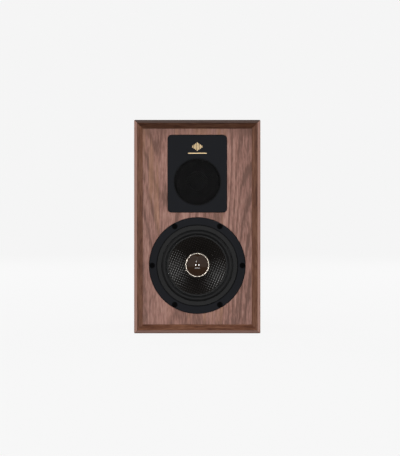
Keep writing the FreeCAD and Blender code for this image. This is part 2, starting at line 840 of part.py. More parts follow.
def woofer_dust_cap():
    cap = woofer_body("woofer_dust_cap")
    inner = f"({CAP_EDGE} - dust_cap_seat)"
    inner_base = f"({CAP_BASE} - dust_cap_wall / 2)"
    inner_rise = "(dust_cap_rise - dust_cap_wall / 2)"
    profile = chain(
        ("0", f"{inner_base} + {inner_rise}", arc_radius(inner, inner_rise), 1),
        ("0", f"{CAP_BASE} + dust_cap_rise"),
        (CAP_EDGE, CAP_BASE, arc_radius(CAP_EDGE, "dust_cap_rise"), -1),
        (CAP_EDGE, cone_height(CAP_EDGE)),
        (inner, cone_height(inner)),
        (inner, inner_base),
    )
    turned(cap, profile)


def woofer_cap_ring():
    """Bright ring round the dust cap, standing on the cone."""
    ring = woofer_body("woofer_cap_ring")
    top = f"{cone_height('cap_ring_outer')} + cap_ring_height"
    half = "(cap_ring_outer - cap_ring_inner) / 2"
    profile = chain(
        ("cap_ring_outer", cone_height("cap_ring_outer")),
        ("cap_ring_outer", top),
        ("cap_ring_inner", top, arc_radius(half, "cap_ring_crown"), 1),
        ("cap_ring_inner", cone_height("cap_ring_inner")),
    )
    turned(ring, profile)


def woofer_spider():
    """Corrugated cloth ring that centres the coil."""
    spider = woofer_body("woofer_spider")
    waves = 12
    lower = [(NECK, "-spider_ledge_depth"), ("spider_collar", "-spider_ledge_depth")]
    for i in range(1, waves):
        side = 1 if i % 2 else -1
        radius = f"spider_collar + (spider_ledge_inner - spider_collar) * {i} / {waves}"
        lower.append((radius, f"{side} * spider_wave - spider_ledge_depth"))
    lower.append(("spider_ledge_inner", "-spider_ledge_depth"))
    lower.append(("spider_outer", "-spider_ledge_depth"))
    upper = [(radius, f"{height} + spider_thick") for radius, height in reversed(lower)]
    turned(spider, chain(*lower, *upper))


def woofer_voice_coil():
    coil = woofer_body("woofer_voice_coil")
    former = chain(
        ("coil_inner", "-coil_former_end"),
        (NECK, "-coil_former_end"),
        (NECK, "-cone_neck_depth"),
        ("coil_inner", "-cone_neck_depth"),
    )
    turned(coil, former)
    end, start = "-coil_former_end", "-coil_winding_start"
    pad(coil, end, start, circle(f"{NECK} + coil_winding_wall"), circle(NECK))


def woofer_motor():
    plate = woofer_body("woofer_top_plate")
    pad(plate, PLATE_BACK, "-frame_end_depth", circle("plate_outer"), circle("plate_inner"))
    magnet = woofer_body("woofer_magnet")
    pad(magnet, MAGNET_BACK, PLATE_BACK, circle("magnet_outer"), circle("magnet_inner"))
    yoke = woofer_body("woofer_yoke")
    back = f"({MAGNET_BACK} - plate_thick)"
    pad(yoke, back, MAGNET_BACK, circle("plate_outer"), circle("pole_vent"))
    pad(yoke, MAGNET_BACK, "-frame_end_depth", circle("pole_radius"), circle("pole_vent"))


TAG_BOARD_FACE = "(frame_rear_radius + tag_board_gap + tag_board_thick)"
TAG_UP = f"(-{TAG_BOARD_FACE} - tag_thick / 2)"


def woofer_terminals():
    """A small board under the basket with two solder tags."""
    tags = woofer_body("woofer_terminals")
    board = rectangle("tag_board_width", "tag_board_thick", up=f"tag_board_thick / 2 - {TAG_BOARD_FACE}")
    pad(tags, "-tag_board_end", "-tag_board_start", board)
    strips = [rectangle("tag_width", "tag_thick", f"{s} * tag_spacing / 2", TAG_UP) for s in (-1, 1)]
    pad(tags, "-tag_end", "-tag_start", *strips)


def woofer_tinsel_leads():
    """Two braided leads from the back of the cone, through a basket window, to the tags."""
    leads = woofer_body("woofer_tinsel_leads")
    start = f"({cone_height('tinsel_start - tinsel_radius')} - 1.4 * cone_thick)"
    end = f"(-{TAG_BOARD_FACE} - tag_thick - tinsel_radius)"
    for side in (-1, 1):
        wire(
            leads,
            "tinsel_radius",
            f"{side} * tag_spacing / 2",
            "tinsel_bend",
            ("-tinsel_start", start),
            ("-tinsel_start", "-tinsel_run_depth"),
            (end, "-tinsel_run_depth"),
            (end, "-tinsel_end_depth"),
        )


# ---------------------------------------------------------------- tweeter

FACE_BACK = "(driver_proud - face_thick)"
MESH_BASE = "(driver_proud - mesh_rim_drop)"
DIAPHRAGM = "(-diaphragm_depth)"
CARRIER_BACK = "(-diaphragm_depth - carrier_thick)"
CHASSIS_BACK = f"({FACE_BACK} - chassis_plate)"
TOP_PLATE_BACK = f"({CARRIER_BACK} - tweeter_plate_thick)"
TWEETER_MAGNET_BACK = f"({TOP_PLATE_BACK} - tweeter_magnet_thick)"
YOKE_BACK = f"({TWEETER_MAGNET_BACK} - tweeter_yoke_thick)"
TWEETER_SEAT = f"({FACE_BACK} - tweeter_sink_depth)"


def tweeter_body(label):
    return body(label, FRONT, along=BAFFLE_FACE, up="tweeter_height")


def tweeter_faceplate():
    face = tweeter_body("tweeter_faceplate")
    outline = rectangle("face_width", "face_height", up="face_rise", corner="face_corner")
    pad(face, FACE_BACK, "driver_proud", outline, circle("mesh_opening"))
    pocket(face, FACE_BACK, MESH_BASE, circle("mesh_rim_outer + mesh_seat_gap"))
    round_front(face, "face_edge", "driver_proud")


def tweeter_mesh():
    """The domed grille of woven wire and its flat rim, drawn as a plain shell."""
    mesh = tweeter_body("tweeter_mesh")
    curve = arc_radius("mesh_rim_inner", "mesh_rise")
    profile = chain(
        ("0", f"{MESH_BASE} + mesh_rise - mesh_thick", curve, 1),
        ("0", f"{MESH_BASE} + mesh_rise"),
        ("mesh_rim_inner", MESH_BASE, curve, -1),
        ("mesh_rim_outer", MESH_BASE),
        ("mesh_rim_outer", f"{MESH_BASE} - mesh_thick"),
        ("mesh_rim_inner", f"{MESH_BASE} - mesh_thick"),
    )
    turned(mesh, profile)


def tweeter_badge():
    """A plain foil emblem: upright bars like a level meter over a line."""
    badge = tweeter_body("tweeter_badge")
    bars = [
        rectangle(
            "badge_bar_width",
            f"badge_bar_tall - {abs(i)} * badge_bar_step",
            f"{i} * badge_bar_pitch",
            "badge_height",
        )
        for i in range(-3, 4)
    ]
    line = rectangle("badge_line_width", "badge_line_height", up="badge_height - badge_line_drop")
    pad(badge, "driver_proud", "driver_proud + badge_thick", *bars, line)


def tweeter_chassis():
    """Plate behind the faceplate with the clamp ring of the grille, a short horn and the motor's seat."""
    chassis = tweeter_body("tweeter_chassis")
    outline = rectangle(
        "face_width - 2 * chassis_inset",
        "face_height - 2 * chassis_inset",
        up="face_rise",
        corner="(face_corner - chassis_inset)",
    )
    pad(chassis, CHASSIS_BACK, FACE_BACK, outline)
    pad(chassis, "-chassis_boss_depth", CHASSIS_BACK, circle("chassis_boss"))
    pad(chassis, FACE_BACK, f"{MESH_BASE} - mesh_thick", circle("mesh_rim_outer"), circle("mesh_opening"))
    horn = chain(
        ("0", DIAPHRAGM),
        ("horn_throat", DIAPHRAGM),
        ("horn_throat", "-horn_throat_depth"),
        ("horn_mouth", FACE_BACK, "horn_curve", -1),
        ("0", FACE_BACK),
    )
    turned(chassis, horn, kind="PartDesign::Groove")
    pocket(chassis, "-chassis_boss_depth", DIAPHRAGM, circle("chassis_seat_radius"))
    spots = four_places("tweeter_screw_across", "tweeter_screw_up", "face_rise")
    pocket(chassis, TWEETER_SEAT, FACE_BACK, *[circle("tweeter_sink_radius", *spot) for spot in spots])
    bore = "tweeter_shank_radius + screw_gap"
    pocket(chassis, CHASSIS_BACK, TWEETER_SEAT, *[circle(bore, *spot) for spot in spots])


def tweeter_gasket():
    gasket = tweeter_body("tweeter_gasket")
    outline = rectangle(
        "face_width - 2 * chassis_inset",
        "face_height - 2 * chassis_inset",
        up="face_rise",
        corner="(face_corner - chassis_inset)",
    )
    back = f"-{TWEETER_REBATE}"
    pad(gasket, back, CHASSIS_BACK, outline, circle("tweeter_hole_radius"))
    spots = four_places("tweeter_screw_across", "tweeter_screw_up", "face_rise")
    pocket(gasket, back, CHASSIS_BACK, *[circle("tweeter_shank_radius + screw_gap", *spot) for spot in spots])


def tweeter_screws():
    screws = tweeter_body("tweeter_screws")
    top = f"({TWEETER_SEAT} + tweeter_head_thick)"
    spots = four_places("tweeter_screw_across", "tweeter_screw_up", "face_rise")
    pad(screws, TWEETER_SEAT, top, *[circle("tweeter_head_radius", *spot) for spot in spots])
    shanks = [circle("tweeter_shank_radius", *spot) for spot in spots]
    pad(screws, f"{TWEETER_SEAT} - tweeter_screw_length", TWEETER_SEAT, *shanks)
    pocket(screws, f"{top} - cross_depth", top, *[cross(*spot) for spot in spots])


LIP = "(tweeter_coil_inner + tweeter_coil_wall)"


def tweeter_surround():
    surround = tweeter_body("tweeter_surround")
    turned(
        surround,
        rolled_edge(
            "carrier_outer",
            LIP,
            DIAPHRAGM,
            "carrier_thick",
            "dome_skin",
            "carrier_inner",
            "dome_radius",
            "dome_roll_rise",
        ),
    )


def tweeter_dome():
    dome = tweeter_body("tweeter_dome")
    inner_rise = "(dome_rise - dome_wall)"
    profile = chain(
        ("0", f"{DIAPHRAGM} + {inner_rise}", arc_radius("tweeter_coil_inner", inner_rise), 1),
        ("0", f"{DIAPHRAGM} + dome_rise"),
        ("dome_radius", DIAPHRAGM, arc_radius("dome_radius", "dome_rise"), -1),
        ("tweeter_coil_inner", DIAPHRAGM),
    )
    turned(dome, profile)


def tweeter_voice_coil():
    coil = tweeter_body("tweeter_voice_coil")
    end = f"({DIAPHRAGM} - tweeter_coil_length)"
    pad(coil, end, DIAPHRAGM, circle(LIP), circle("tweeter_coil_inner"))
    pad(coil, end, f"{end} + tweeter_winding_length", circle(f"{LIP} + tweeter_winding_wall"), circle(LIP))


def tweeter_motor():
    plate = tweeter_body("tweeter_top_plate")
    pad(plate, TOP_PLATE_BACK, CARRIER_BACK, circle("tweeter_plate_outer"), circle("tweeter_plate_inner"))
    magnet = tweeter_body("tweeter_magnet")
    ring = (circle("tweeter_plate_outer"), circle("tweeter_magnet_inner"))
    pad(magnet, TWEETER_MAGNET_BACK, TOP_PLATE_BACK, *ring)
    yoke = tweeter_body("tweeter_yoke")
    pad(yoke, YOKE_BACK, TWEETER_MAGNET_BACK, circle("tweeter_yoke_outer"), circle("tweeter_vent"))
    pad(yoke, TWEETER_MAGNET_BACK, CARRIER_BACK, circle("tweeter_pole"), circle("tweeter_vent"))


def tweeter_rear_chamber():
    chamber = tweeter_body("tweeter_rear_chamber")
    end = f"({YOKE_BACK} - chamber_length)"
    inside = "(chamber_outer - chamber_wall)"
    profile = chain(
        (inside, YOKE_BACK),
        ("chamber_outer", YOKE_BACK),
        ("chamber_outer", end),
        ("0", end),
        ("0", f"{end} + chamber_wall"),
        (inside, f"{end} + chamber_wall"),
    )
    turned(chamber, profile)


def tweeter_terminals():
    tags = tweeter_body("tweeter_terminals")
    face = "(-chassis_boss_depth - tag_board_thick)"
    board = rectangle("tweeter_tag_board_width", "tweeter_tag_board", up="-tweeter_tag_drop")
    pad(tags, face, "-chassis_boss_depth", board)
    strips = [
        rectangle("tweeter_tag_width", "tweeter_tag_thick", f"{s} * tweeter_tag_spacing / 2", "-tweeter_tag_drop")
        for s in (-1, 1)
    ]
    pad(tags, f"{face} - tweeter_tag_length", face, *strips)


# ---------------------------------------------------------------- rear: ports, terminal cup and posts


def port_tubes():
    """Two reflex tubes with a flared outer mouth and a flange on the rear panel."""
    ports = body("port_tubes", REAR, across="port_spread", along=REAR_FACE, up="port_height")
    outside = "(port_radius + port_wall)"
    flare_end = "(port_radius + port_flare)"
    rim = "port_flange_thick"
    profile = chain(
        ("port_radius", "-port_length"),
        (outside, "-port_length"),
        (outside, "-port_collar_depth"),
        ("port_collar", f"{rim} - port_flare"),
        ("port_collar", "0"),
        ("port_flange", "0"),
        ("port_flange", f"{rim} - port_edge"),
        ("port_flange - port_edge", rim, "port_edge", 1),
        (flare_end, rim),
        ("port_radius", f"{rim} - port_flare", "port_flare", 1),
    )
    tube = turned(ports, profile)
    pair = ports.newObject("PartDesign::LinearPattern", "port_pair")
    pair.Originals = [tube]
    pair.Direction = (origin_item(ports, "X_Axis"), [""])
    bind(pair, "Length", "2 * port_spread")
    pair.Occurrences = 2
    ports.Tip = pair


POSTS = {"upper_plus": (1, 1), "upper_minus": (-1, 1), "lower_plus": (1, -1), "lower_minus": (-1, -1)}
POST_PLACES = [(f"{x} * post_across", f"{y} * post_up") for x, y in POSTS.values()]
CUP_FLOOR = f"({REAR_FACE} - cup_depth)"
LINK_BASE = "(bush_thick + shoulder_thick)"
WASHER_BASE = f"({LINK_BASE} + link_thick)"
KNOB_BASE = f"({WASHER_BASE} + washer_thick)"
BOARD_FRONT = "(-cup_floor - spacer_nut)"
BOARD_BACK = f"({BOARD_FRONT} - board_thick)"


def cup_body(label):
    """A sub-part measured from the cup's floor, at its middle."""
    return body(label, REAR, along=CUP_FLOOR, up="cup_height")


def terminal_cup():
    cup = cup_body("terminal_cup")
    face = "(cup_depth + cup_plate_thick)"
    plate = rectangle("cup_plate_width", "cup_plate_tall", corner="cup_corner")
    pad(cup, "cup_depth", face, plate)
    pad(cup, "-cup_floor", "cup_depth", rectangle("cup_width", "cup_tall", corner="cup_corner"))
    recess = rectangle(
        "cup_width - 2 * cup_wall", "cup_tall - 2 * cup_wall", corner="(cup_corner - cup_wall)"
    )
    pocket(cup, "0", face, recess)
    pocket(cup, "-cup_floor", "0", *[circle("stud_radius + stud_hole_gap", *spot) for spot in POST_PLACES])
    spots = four_places("cup_screw_across", "cup_screw_up")
    bore = "cup_screw_radius + screw_gap"
    pocket(cup, "cup_depth", face, *[circle(bore, *spot) for spot in spots])
    round_front(cup, "cup_plate_edge", face)


def terminal_screws():
    screws = cup_body("terminal_screws")
    seat = "(cup_depth + cup_plate_thick)"
    top = f"({seat} + cup_screw_head_thick)"
    spots = four_places("cup_screw_across", "cup_screw_up")
    pad(screws, seat, top, *[circle("cup_screw_head", *spot) for spot in spots])
    pad(screws, f"{seat} - cup_screw_length", seat, *[circle("cup_screw_radius", *spot) for spot in spots])
    pocket(screws, f"{top} - cross_depth", top, *[cross(*spot) for spot in spots])


def post_bushes():
    bushes = cup_body("post_bushes")
    loops = [circle("bush_radius", *spot) for spot in POST_PLACES]
    loops += [circle("stud_radius + stud_hole_gap", *spot) for spot in POST_PLACES]
    pad(bushes, "0", "bush_thick", *loops)


def post_studs():
    """Threaded studs with a shoulder, a socket for a 4 mm plug and a cross hole for bare wire."""
    studs = cup_body("post_studs")
    pad(studs, "-stud_inner_length", "stud_outer_length", *[circle("stud_radius", *s) for s in POST_PLACES])
    pad(studs, "bush_thick", LINK_BASE, *[circle("shoulder_radius", *s) for s in POST_PLACES])
    sockets = [circle("banana_radius", *spot) for spot in POST_PLACES]
    pocket(studs, "stud_outer_length - banana_length", "stud_outer_length", *sockets)
    holes = [circle("wire_hole_radius", f"{s} * post_up", "wire_hole_height") for s in (-1, 1)]
    reach = "post_across + 2 * stud_radius"
    pocket(studs, f"-({reach})", reach, *holes, plane="YZ_Plane")


def post_inner_nuts():
    """A nut on each stud behind the cup's floor, and one that holds the crossover board."""
    nuts = cup_body("post_inner_nuts")
    for low, high in ((BOARD_FRONT, "-cup_floor"), (f"{BOARD_BACK} - lock_nut", BOARD_BACK)):
        loops = [hexagon("nut_radius", *spot) for spot in POST_PLACES]
        loops += [circle("stud_radius + thread_gap", *spot) for spot in POST_PLACES]
        pad(nuts, low, high, *loops)


def jumper_links():
    """Flat metal links that join each upper post to the lower one."""
    links = cup_body("jumper_links")
    loops = [
        rectangle("link_width", "2 * post_up + link_width", f"{s} * post_across", corner="link_corner")
        for s in (-1, 1)
    ]
    loops += [circle("stud_radius + stud_hole_gap", *spot) for spot in POST_PLACES]
    pad(links, LINK_BASE, WASHER_BASE, *loops)


def post_body(label, side, level):
    return body(
        label, REAR, f"{-side} * post_across", CUP_FLOOR, f"cup_height + {level} * post_up"
    )


def post_washer(name, side, level):
    washer = post_body(f"post_washer_{name}", side, level)
    pad(washer, WASHER_BASE, KNOB_BASE, circle("washer_radius"), circle("stud_radius + thread_gap"))


def post_knob(name, side, level):
    """A screw cap with grip flutes; its end is open for a plug."""
    knob = post_body(f"post_knob_{name}", side, level)
    end = f"({KNOB_BASE} + knob_length)"
    thread = "(stud_radius + thread_gap)"
    profile = chain(
        (thread, KNOB_BASE),
        ("knob_radius - knob_edge", KNOB_BASE),
        ("knob_radius", f"{KNOB_BASE} + knob_edge", "knob_edge", 1),
        ("knob_radius", f"{end} - knob_edge"),
        ("knob_radius - knob_edge", end, "knob_edge", 1),
        ("knob_end_hole", end),
        ("knob_end_hole", f"{end} - knob_end_wall"),
        (thread, f"{end} - knob_end_wall"),
    )
    turned(knob, profile)
    groove = circle("knob_flute_radius", "knob_radius + knob_flute_radius - knob_flute_depth")
    flute = pocket(knob, f"{KNOB_BASE} + knob_collar", f"{end} + knob_edge", groove)
    repeat_round(knob, [flute], "knob_flutes")


# ---------------------------------------------------------------- crossover and leads


def crossover_board():
    board = cup_body("crossover_board")
    holes = [circle("stud_radius + board_hole_gap", *spot) for spot in POST_PLACES]
    pad(board, BOARD_BACK, BOARD_FRONT, rectangle("board_width", "board_tall"), *holes)


def crossover_inductors():
    chokes = cup_body("crossover_inductors")
    for side, outer, tall in ((1, "choke_outer", "choke_tall"), (-1, "small_choke_outer", "small_choke_tall")):
        across = f"{side} * choke_across"
        pad(chokes, f"{BOARD_BACK} - {tall}", BOARD_BACK, circle(outer, across), circle("choke_inner", across))


def crossover_capacitors():
    capacitors = cup_body("crossover_capacitors")
    large = circle("capacitor_radius", "0", f"{BOARD_BACK} - capacitor_radius")
    pad(capacitors, "-capacitor_length / 2", "capacitor_length / 2", large, plane="XZ_Plane")
    small = circle("small_capacitor_radius", "small_capacitor_up", f"{BOARD_BACK} - small_capacitor_radius")
    low = "-small_capacitor_across - small_capacitor_length / 2"
    high = "small_capacitor_length / 2 - small_capacitor_across"
    pad(capacitors, low, high, small, plane="YZ_Plane")


def crossover_resistors():
    resistors = cup_body("crossover_resistors")
    bricks = [
        rectangle("resistor_length", "resistor_side", f"{s} * resistor_across", f"{s} * resistor_up")
        for s in (-1, 1)
    ]
    pad(resistors, f"{BOARD_BACK} - resistor_side", BOARD_BACK, *bricks)


def internal_wiring():
    """A pair of leads from the crossover to each driver's tags, held at both ends."""
    leads = body("internal_wiring", FRONT)
    board = f"(-{CUP_FLOOR} - {BOARD_BACK})"
    tags = f"(woofer_height + {TAG_UP})"
    run = f"({tags} - woofer_lead_drop)"
    start = f"(-{BAFFLE_FACE} - tag_end)"
    turn = f"({start} - woofer_lead_turn)"
    for side in (-1, 1):
        across = f"{side} * tag_spacing / 2"
        wire(leads, "lead_radius", across, "woofer_lead_bend", (tags, start), (tags, turn), (run, turn), (run, board))
    tags = "(tweeter_height - tweeter_tag_drop)"
    start = f"(-{BAFFLE_FACE} - chassis_boss_depth - tag_board_thick - tweeter_tag_length)"
    turn = "(-tweeter_lead_turn)"
    run = "(cup_height + tweeter_lead_up)"
    for side in (-1, 1):
        across = f"{side} * tweeter_tag_spacing / 2"
        wire(leads, "lead_radius", across, "tweeter_lead_bend", (tags, start), (tags, turn), (run, turn), (run, board))


# ---------------------------------------------------------------- build


def check_and_export():
    DOC.recompute()
    for item in DOC.Objects:
        if {"Invalid", "Error"} & set(item.State):
            raise RuntimeError(f"{item.Name} did not compute: {item.State}")
    os.makedirs("parts", exist_ok=True)
    for label, owner in PARTS.items():
        shape = owner.Shape
        if shape.isNull() or not shape.isValid() or not shape.Solids:
            raise RuntimeError(f"{label} has no valid solid")
        shape.exportStep(f"parts/{label}.step")
    print(f"{len(PARTS)} sub-parts written")


for wall_side in SIDES:
    cabinet_wall(wall_side)
    front_trim(wall_side)
for build in (
    front_baffle,
    back_panel,
    window_brace,
    damping_wadding,
    woofer_frame,
    woofer_gasket,
    woofer_screws,
    woofer_surround,
    woofer_cone,
    woofer_dust_cap,
    woofer_cap_ring,
    woofer_spider,
    woofer_voice_coil,
    woofer_motor,
    woofer_terminals,
    woofer_tinsel_leads,
    tweeter_faceplate,
    tweeter_mesh,
    tweeter_badge,
    tweeter_chassis,
    tweeter_gasket,
    tweeter_screws,
    tweeter_surround,
    tweeter_dome,
    tweeter_voice_coil,
    tweeter_motor,
    tweeter_rear_chamber,
    tweeter_terminals,
    port_tubes,
    terminal_cup,
    terminal_screws,
    post_bushes,
    post_studs,
    post_inner_nuts,
    jumper_links,
    crossover_board,
    crossover_inductors,
    crossover_capacitors,
    crossover_resistors,
    internal_wiring,
):
    build()
for post_name, (post_side, post_level) in POSTS.items():
    post_washer(post_name, post_side, post_level)
    post_knob(post_name, post_side, post_level)
check_and_export()
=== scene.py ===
# %% [markdown]
# A bookshelf loudspeaker in walnut, built around a fixed frame of engineering parts.
# The frame brings the cabinet, the drivers and the terminals at their true size and place. The script
# gives each of them a finish, and replaces the parts whose real surface is finer than an engineering
# solid: the woven cone, the wire grille, the surrounds, the flared ports and the wadding.

import math

import bpy
import numpy as np
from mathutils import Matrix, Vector


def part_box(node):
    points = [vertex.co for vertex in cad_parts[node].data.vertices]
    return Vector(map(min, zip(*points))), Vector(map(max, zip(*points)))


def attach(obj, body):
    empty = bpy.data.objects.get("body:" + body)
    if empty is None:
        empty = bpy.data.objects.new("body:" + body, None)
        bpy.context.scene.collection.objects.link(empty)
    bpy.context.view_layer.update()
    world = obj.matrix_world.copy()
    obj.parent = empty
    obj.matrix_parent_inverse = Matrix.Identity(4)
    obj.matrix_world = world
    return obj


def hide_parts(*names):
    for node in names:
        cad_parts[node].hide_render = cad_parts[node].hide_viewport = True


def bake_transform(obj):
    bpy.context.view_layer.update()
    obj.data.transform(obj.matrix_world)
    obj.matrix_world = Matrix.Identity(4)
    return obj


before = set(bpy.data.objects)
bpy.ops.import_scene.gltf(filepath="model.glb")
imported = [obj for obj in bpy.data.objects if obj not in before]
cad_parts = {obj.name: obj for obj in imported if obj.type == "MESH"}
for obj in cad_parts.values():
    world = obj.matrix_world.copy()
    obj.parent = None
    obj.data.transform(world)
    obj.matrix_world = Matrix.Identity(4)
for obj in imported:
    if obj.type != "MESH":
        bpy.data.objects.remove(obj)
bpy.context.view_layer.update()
MM = 0.001


def middle(node):
    low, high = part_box(node)
    return (low + high) / 2


CABINET_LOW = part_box("left_side_panel")[0]
CABINET_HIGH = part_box("right_side_panel")[1]
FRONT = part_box("front_trim_top")[0].y
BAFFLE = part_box("front_baffle")[0].y
WOOFER = Vector((middle("woofer_frame").x, BAFFLE, middle("woofer_frame").z))
TWEETER = Vector((middle("tweeter_mesh").x, BAFFLE, middle("tweeter_mesh").z))
print("woofer axis", WOOFER, "tweeter axis", TWEETER, "front plane", round(FRONT, 4))

# %% [markdown]
# The camera comes first. A product picture of a loudspeaker is taken from far away with a long lens,
# so that the box stays square, and from just above its middle. The lens shift keeps the sensor
# parallel to the baffle and still centres the picture a little below and right of the box's middle.

# %% The camera
CAMERA_DISTANCE = 2.4
CAMERA_HEIGHT = 0.205
VIEW_CENTRE = Vector((0.0043, FRONT, 0.1668))
LENS = 119.7
SENSOR = 36.0

bpy.ops.object.camera_add(
    location=(VIEW_CENTRE.x, FRONT - CAMERA_DISTANCE, CAMERA_HEIGHT),
    rotation=(math.pi / 2, 0, 0),
)
camera = bpy.context.object
camera.name = "product_camera"
camera.data.lens = LENS
camera.data.sensor_width = SENSOR
camera.data.shift_y = (VIEW_CENTRE.z - CAMERA_HEIGHT) * LENS / SENSOR / CAMERA_DISTANCE
bpy.context.scene.camera = camera
print("lens shift", round(camera.data.shift_y, 4))

# %% [markdown]
# The set is a pale floor that curves up into a wall all round, like a dish, so no horizon shows from
# any side. It starts as a grid; its middle stays flat, and every point further out than the flat part
# is lifted on a smooth curve. Its paleness is nearly all a glow of its own, which its finish gives it
# below, so the lamps light the object alone and no shadow shows where it stands.

# %% The set
FLOOR_FLAT = 3.9
FLOOR_HALF = 9.0
FLOOR_CELLS = 72
FLOOR_CURVE = 0.45


def clear_selection():
    if bpy.context.object and bpy.context.object.mode == "EDIT":
        bpy.ops.object.mode_set(mode="OBJECT")
    bpy.ops.object.select_all(action="DESELECT")


def take(piece):
    """Makes a piece the only selected and active one."""
    clear_selection()
    piece.select_set(True)
    bpy.context.view_layer.objects.active = piece


PARTS = {"VERT": "vertices", "EDGE": "edges", "FACE": "polygons"}


def pick(piece, kind, test):
    """Selects the points, edges or faces that pass a test, and goes into edit mode."""
    take(piece)
    bpy.ops.object.mode_set(mode="EDIT")
    bpy.ops.mesh.select_mode(type=kind)
    bpy.ops.mesh.select_all(action="DESELECT")
    bpy.ops.object.mode_set(mode="OBJECT")
    for part in getattr(piece.data, PARTS[kind]):
        part.select = bool(test(part))
    bpy.ops.object.mode_set(mode="EDIT")


def fix_place(piece):
    """Moves a piece's place into its mesh, so that its object sits at the origin."""
    take(piece)
    bpy.ops.object.transform_apply(location=True, rotation=True, scale=True)


clear_selection()
bpy.ops.mesh.primitive_grid_add(
    x_subdivisions=FLOOR_CELLS,
    y_subdivisions=FLOOR_CELLS,
    size=2 * FLOOR_HALF,
)
dish = bpy.context.object
dish.name = "studio_dish"
for point in dish.data.vertices:
    beyond = max(0.0, math.hypot(point.co.x, point.co.y) - FLOOR_FLAT)
    point.co.z = FLOOR_CURVE * beyond**2
fix_place(dish)
bpy.ops.object.shade_smooth()
dish.visible_glossy = False
dish.visible_shadow = False
print("dish faces", len(dish.data.polygons))

# %% [markdown]
# Two very large soft boxes in front, one to each side, light the wood evenly. Two small lamps near the
# camera give the pair of bright points on the domed cap, a third above them and a low strip give the two
# fainter ones. Two tall strips almost level with the baffle reach into the cone, because its wall slopes
# and mirrors only what stands far round on the other side. Two fills light the back. Some of the lamps
# reach below the floor's level, as if the box stood on a high stand, so the set casts no shadow and is
# left out of reflections.


# %% The lights
def lamp(name, place, aim, size, power):
    clear_selection()
    bpy.ops.object.light_add(type="AREA", location=place)
    light = bpy.context.object
    light.name = name
    light.data.shape = "RECTANGLE"
    light.data.size, light.data.size_y = size
    light.data.energy = power
    light.rotation_euler = (Vector(aim) - Vector(place)).to_track_quat("-Z", "Y").to_euler()


HEART = (0, FRONT, 0.17)
BACK = (0, 0.14, 0.17)
lamp("soft_box_left", (-1.9, -2.2, 1.15), HEART, (5.0, 3.6), 24)
lamp("soft_box_right", (1.9, -2.2, 1.05), HEART, (5.0, 3.6), 23)
lamp("strip_left", (-1.9, -0.70, 1.00), WOOFER, (0.40, 2.3), 13)
lamp("strip_right", (1.9, -0.72, 0.35), WOOFER, (0.40, 2.3), 14)
lamp("point_left", (-0.34, -2.5, 0.01), HEART, (0.13, 0.13), 11)
lamp("point_right", (0.36, -2.5, 0.01), HEART, (0.13, 0.13), 11)
lamp("point_high", (-0.25, -2.5, 0.77), HEART, (0.10, 0.10), 3)
lamp("low_strip", (0.0, -2.4, -0.61), HEART, (1.10, 0.10), 5.5)
lamp("rear_fill_left", (-1.5, 2.2, 1.4), BACK, (1.4, 1.4), 36)
lamp("rear_fill_right", (1.5, 2.2, 1.4), BACK, (1.4, 1.4), 36)

# %% [markdown]
# Finishes are node graphs, and a graph is mostly arithmetic. A small class wraps a socket and takes
# part in Python sums, so that a pattern reads like a formula: each operator is a method that adds one
# Math node. Another class wraps a material: it adds any node in one call, and names the few patterns
# that several finishes here share.


# %% Shader arithmetic
def operation(name, swapped=False):
    """A method that adds one Math node, with its two values in either order."""

    def method(self, other=0.0):
        first, second = (other, self) if swapped else (self, other)
        return self.finish.node("ShaderNodeMath", {"operation": name}, {0: first, 1: second})

    return method


class Signal:
    """A socket's value in a sum; every operation adds a Math node."""

    def __init__(self, finish, socket):
        self.finish = finish
        self.socket = socket

    __add__ = operation("ADD")
    __radd__ = operation("ADD", swapped=True)
    __sub__ = operation("SUBTRACT")
    __rsub__ = operation("SUBTRACT", swapped=True)
    __mul__ = operation("MULTIPLY")
    __rmul__ = operation("MULTIPLY", swapped=True)
    __gt__ = operation("GREATER_THAN")
    __mod__ = operation("FLOORED_MODULO")
    sine = operation("SINE")
    size = operation("ABSOLUTE")
    floor = operation("FLOOR")
    power = operation("POWER")
    minimum = operation("MINIMUM")
    maximum = operation("MAXIMUM")

    def squared(self):
        return self * self

    def between(self, low, high):
        """0 below low, 1 above high, and smooth in between."""
        settings = {"interpolation_type": "SMOOTHSTEP"}
        return self.finish.node("ShaderNodeMapRange", settings, {0: self, 1: low, 2: high})


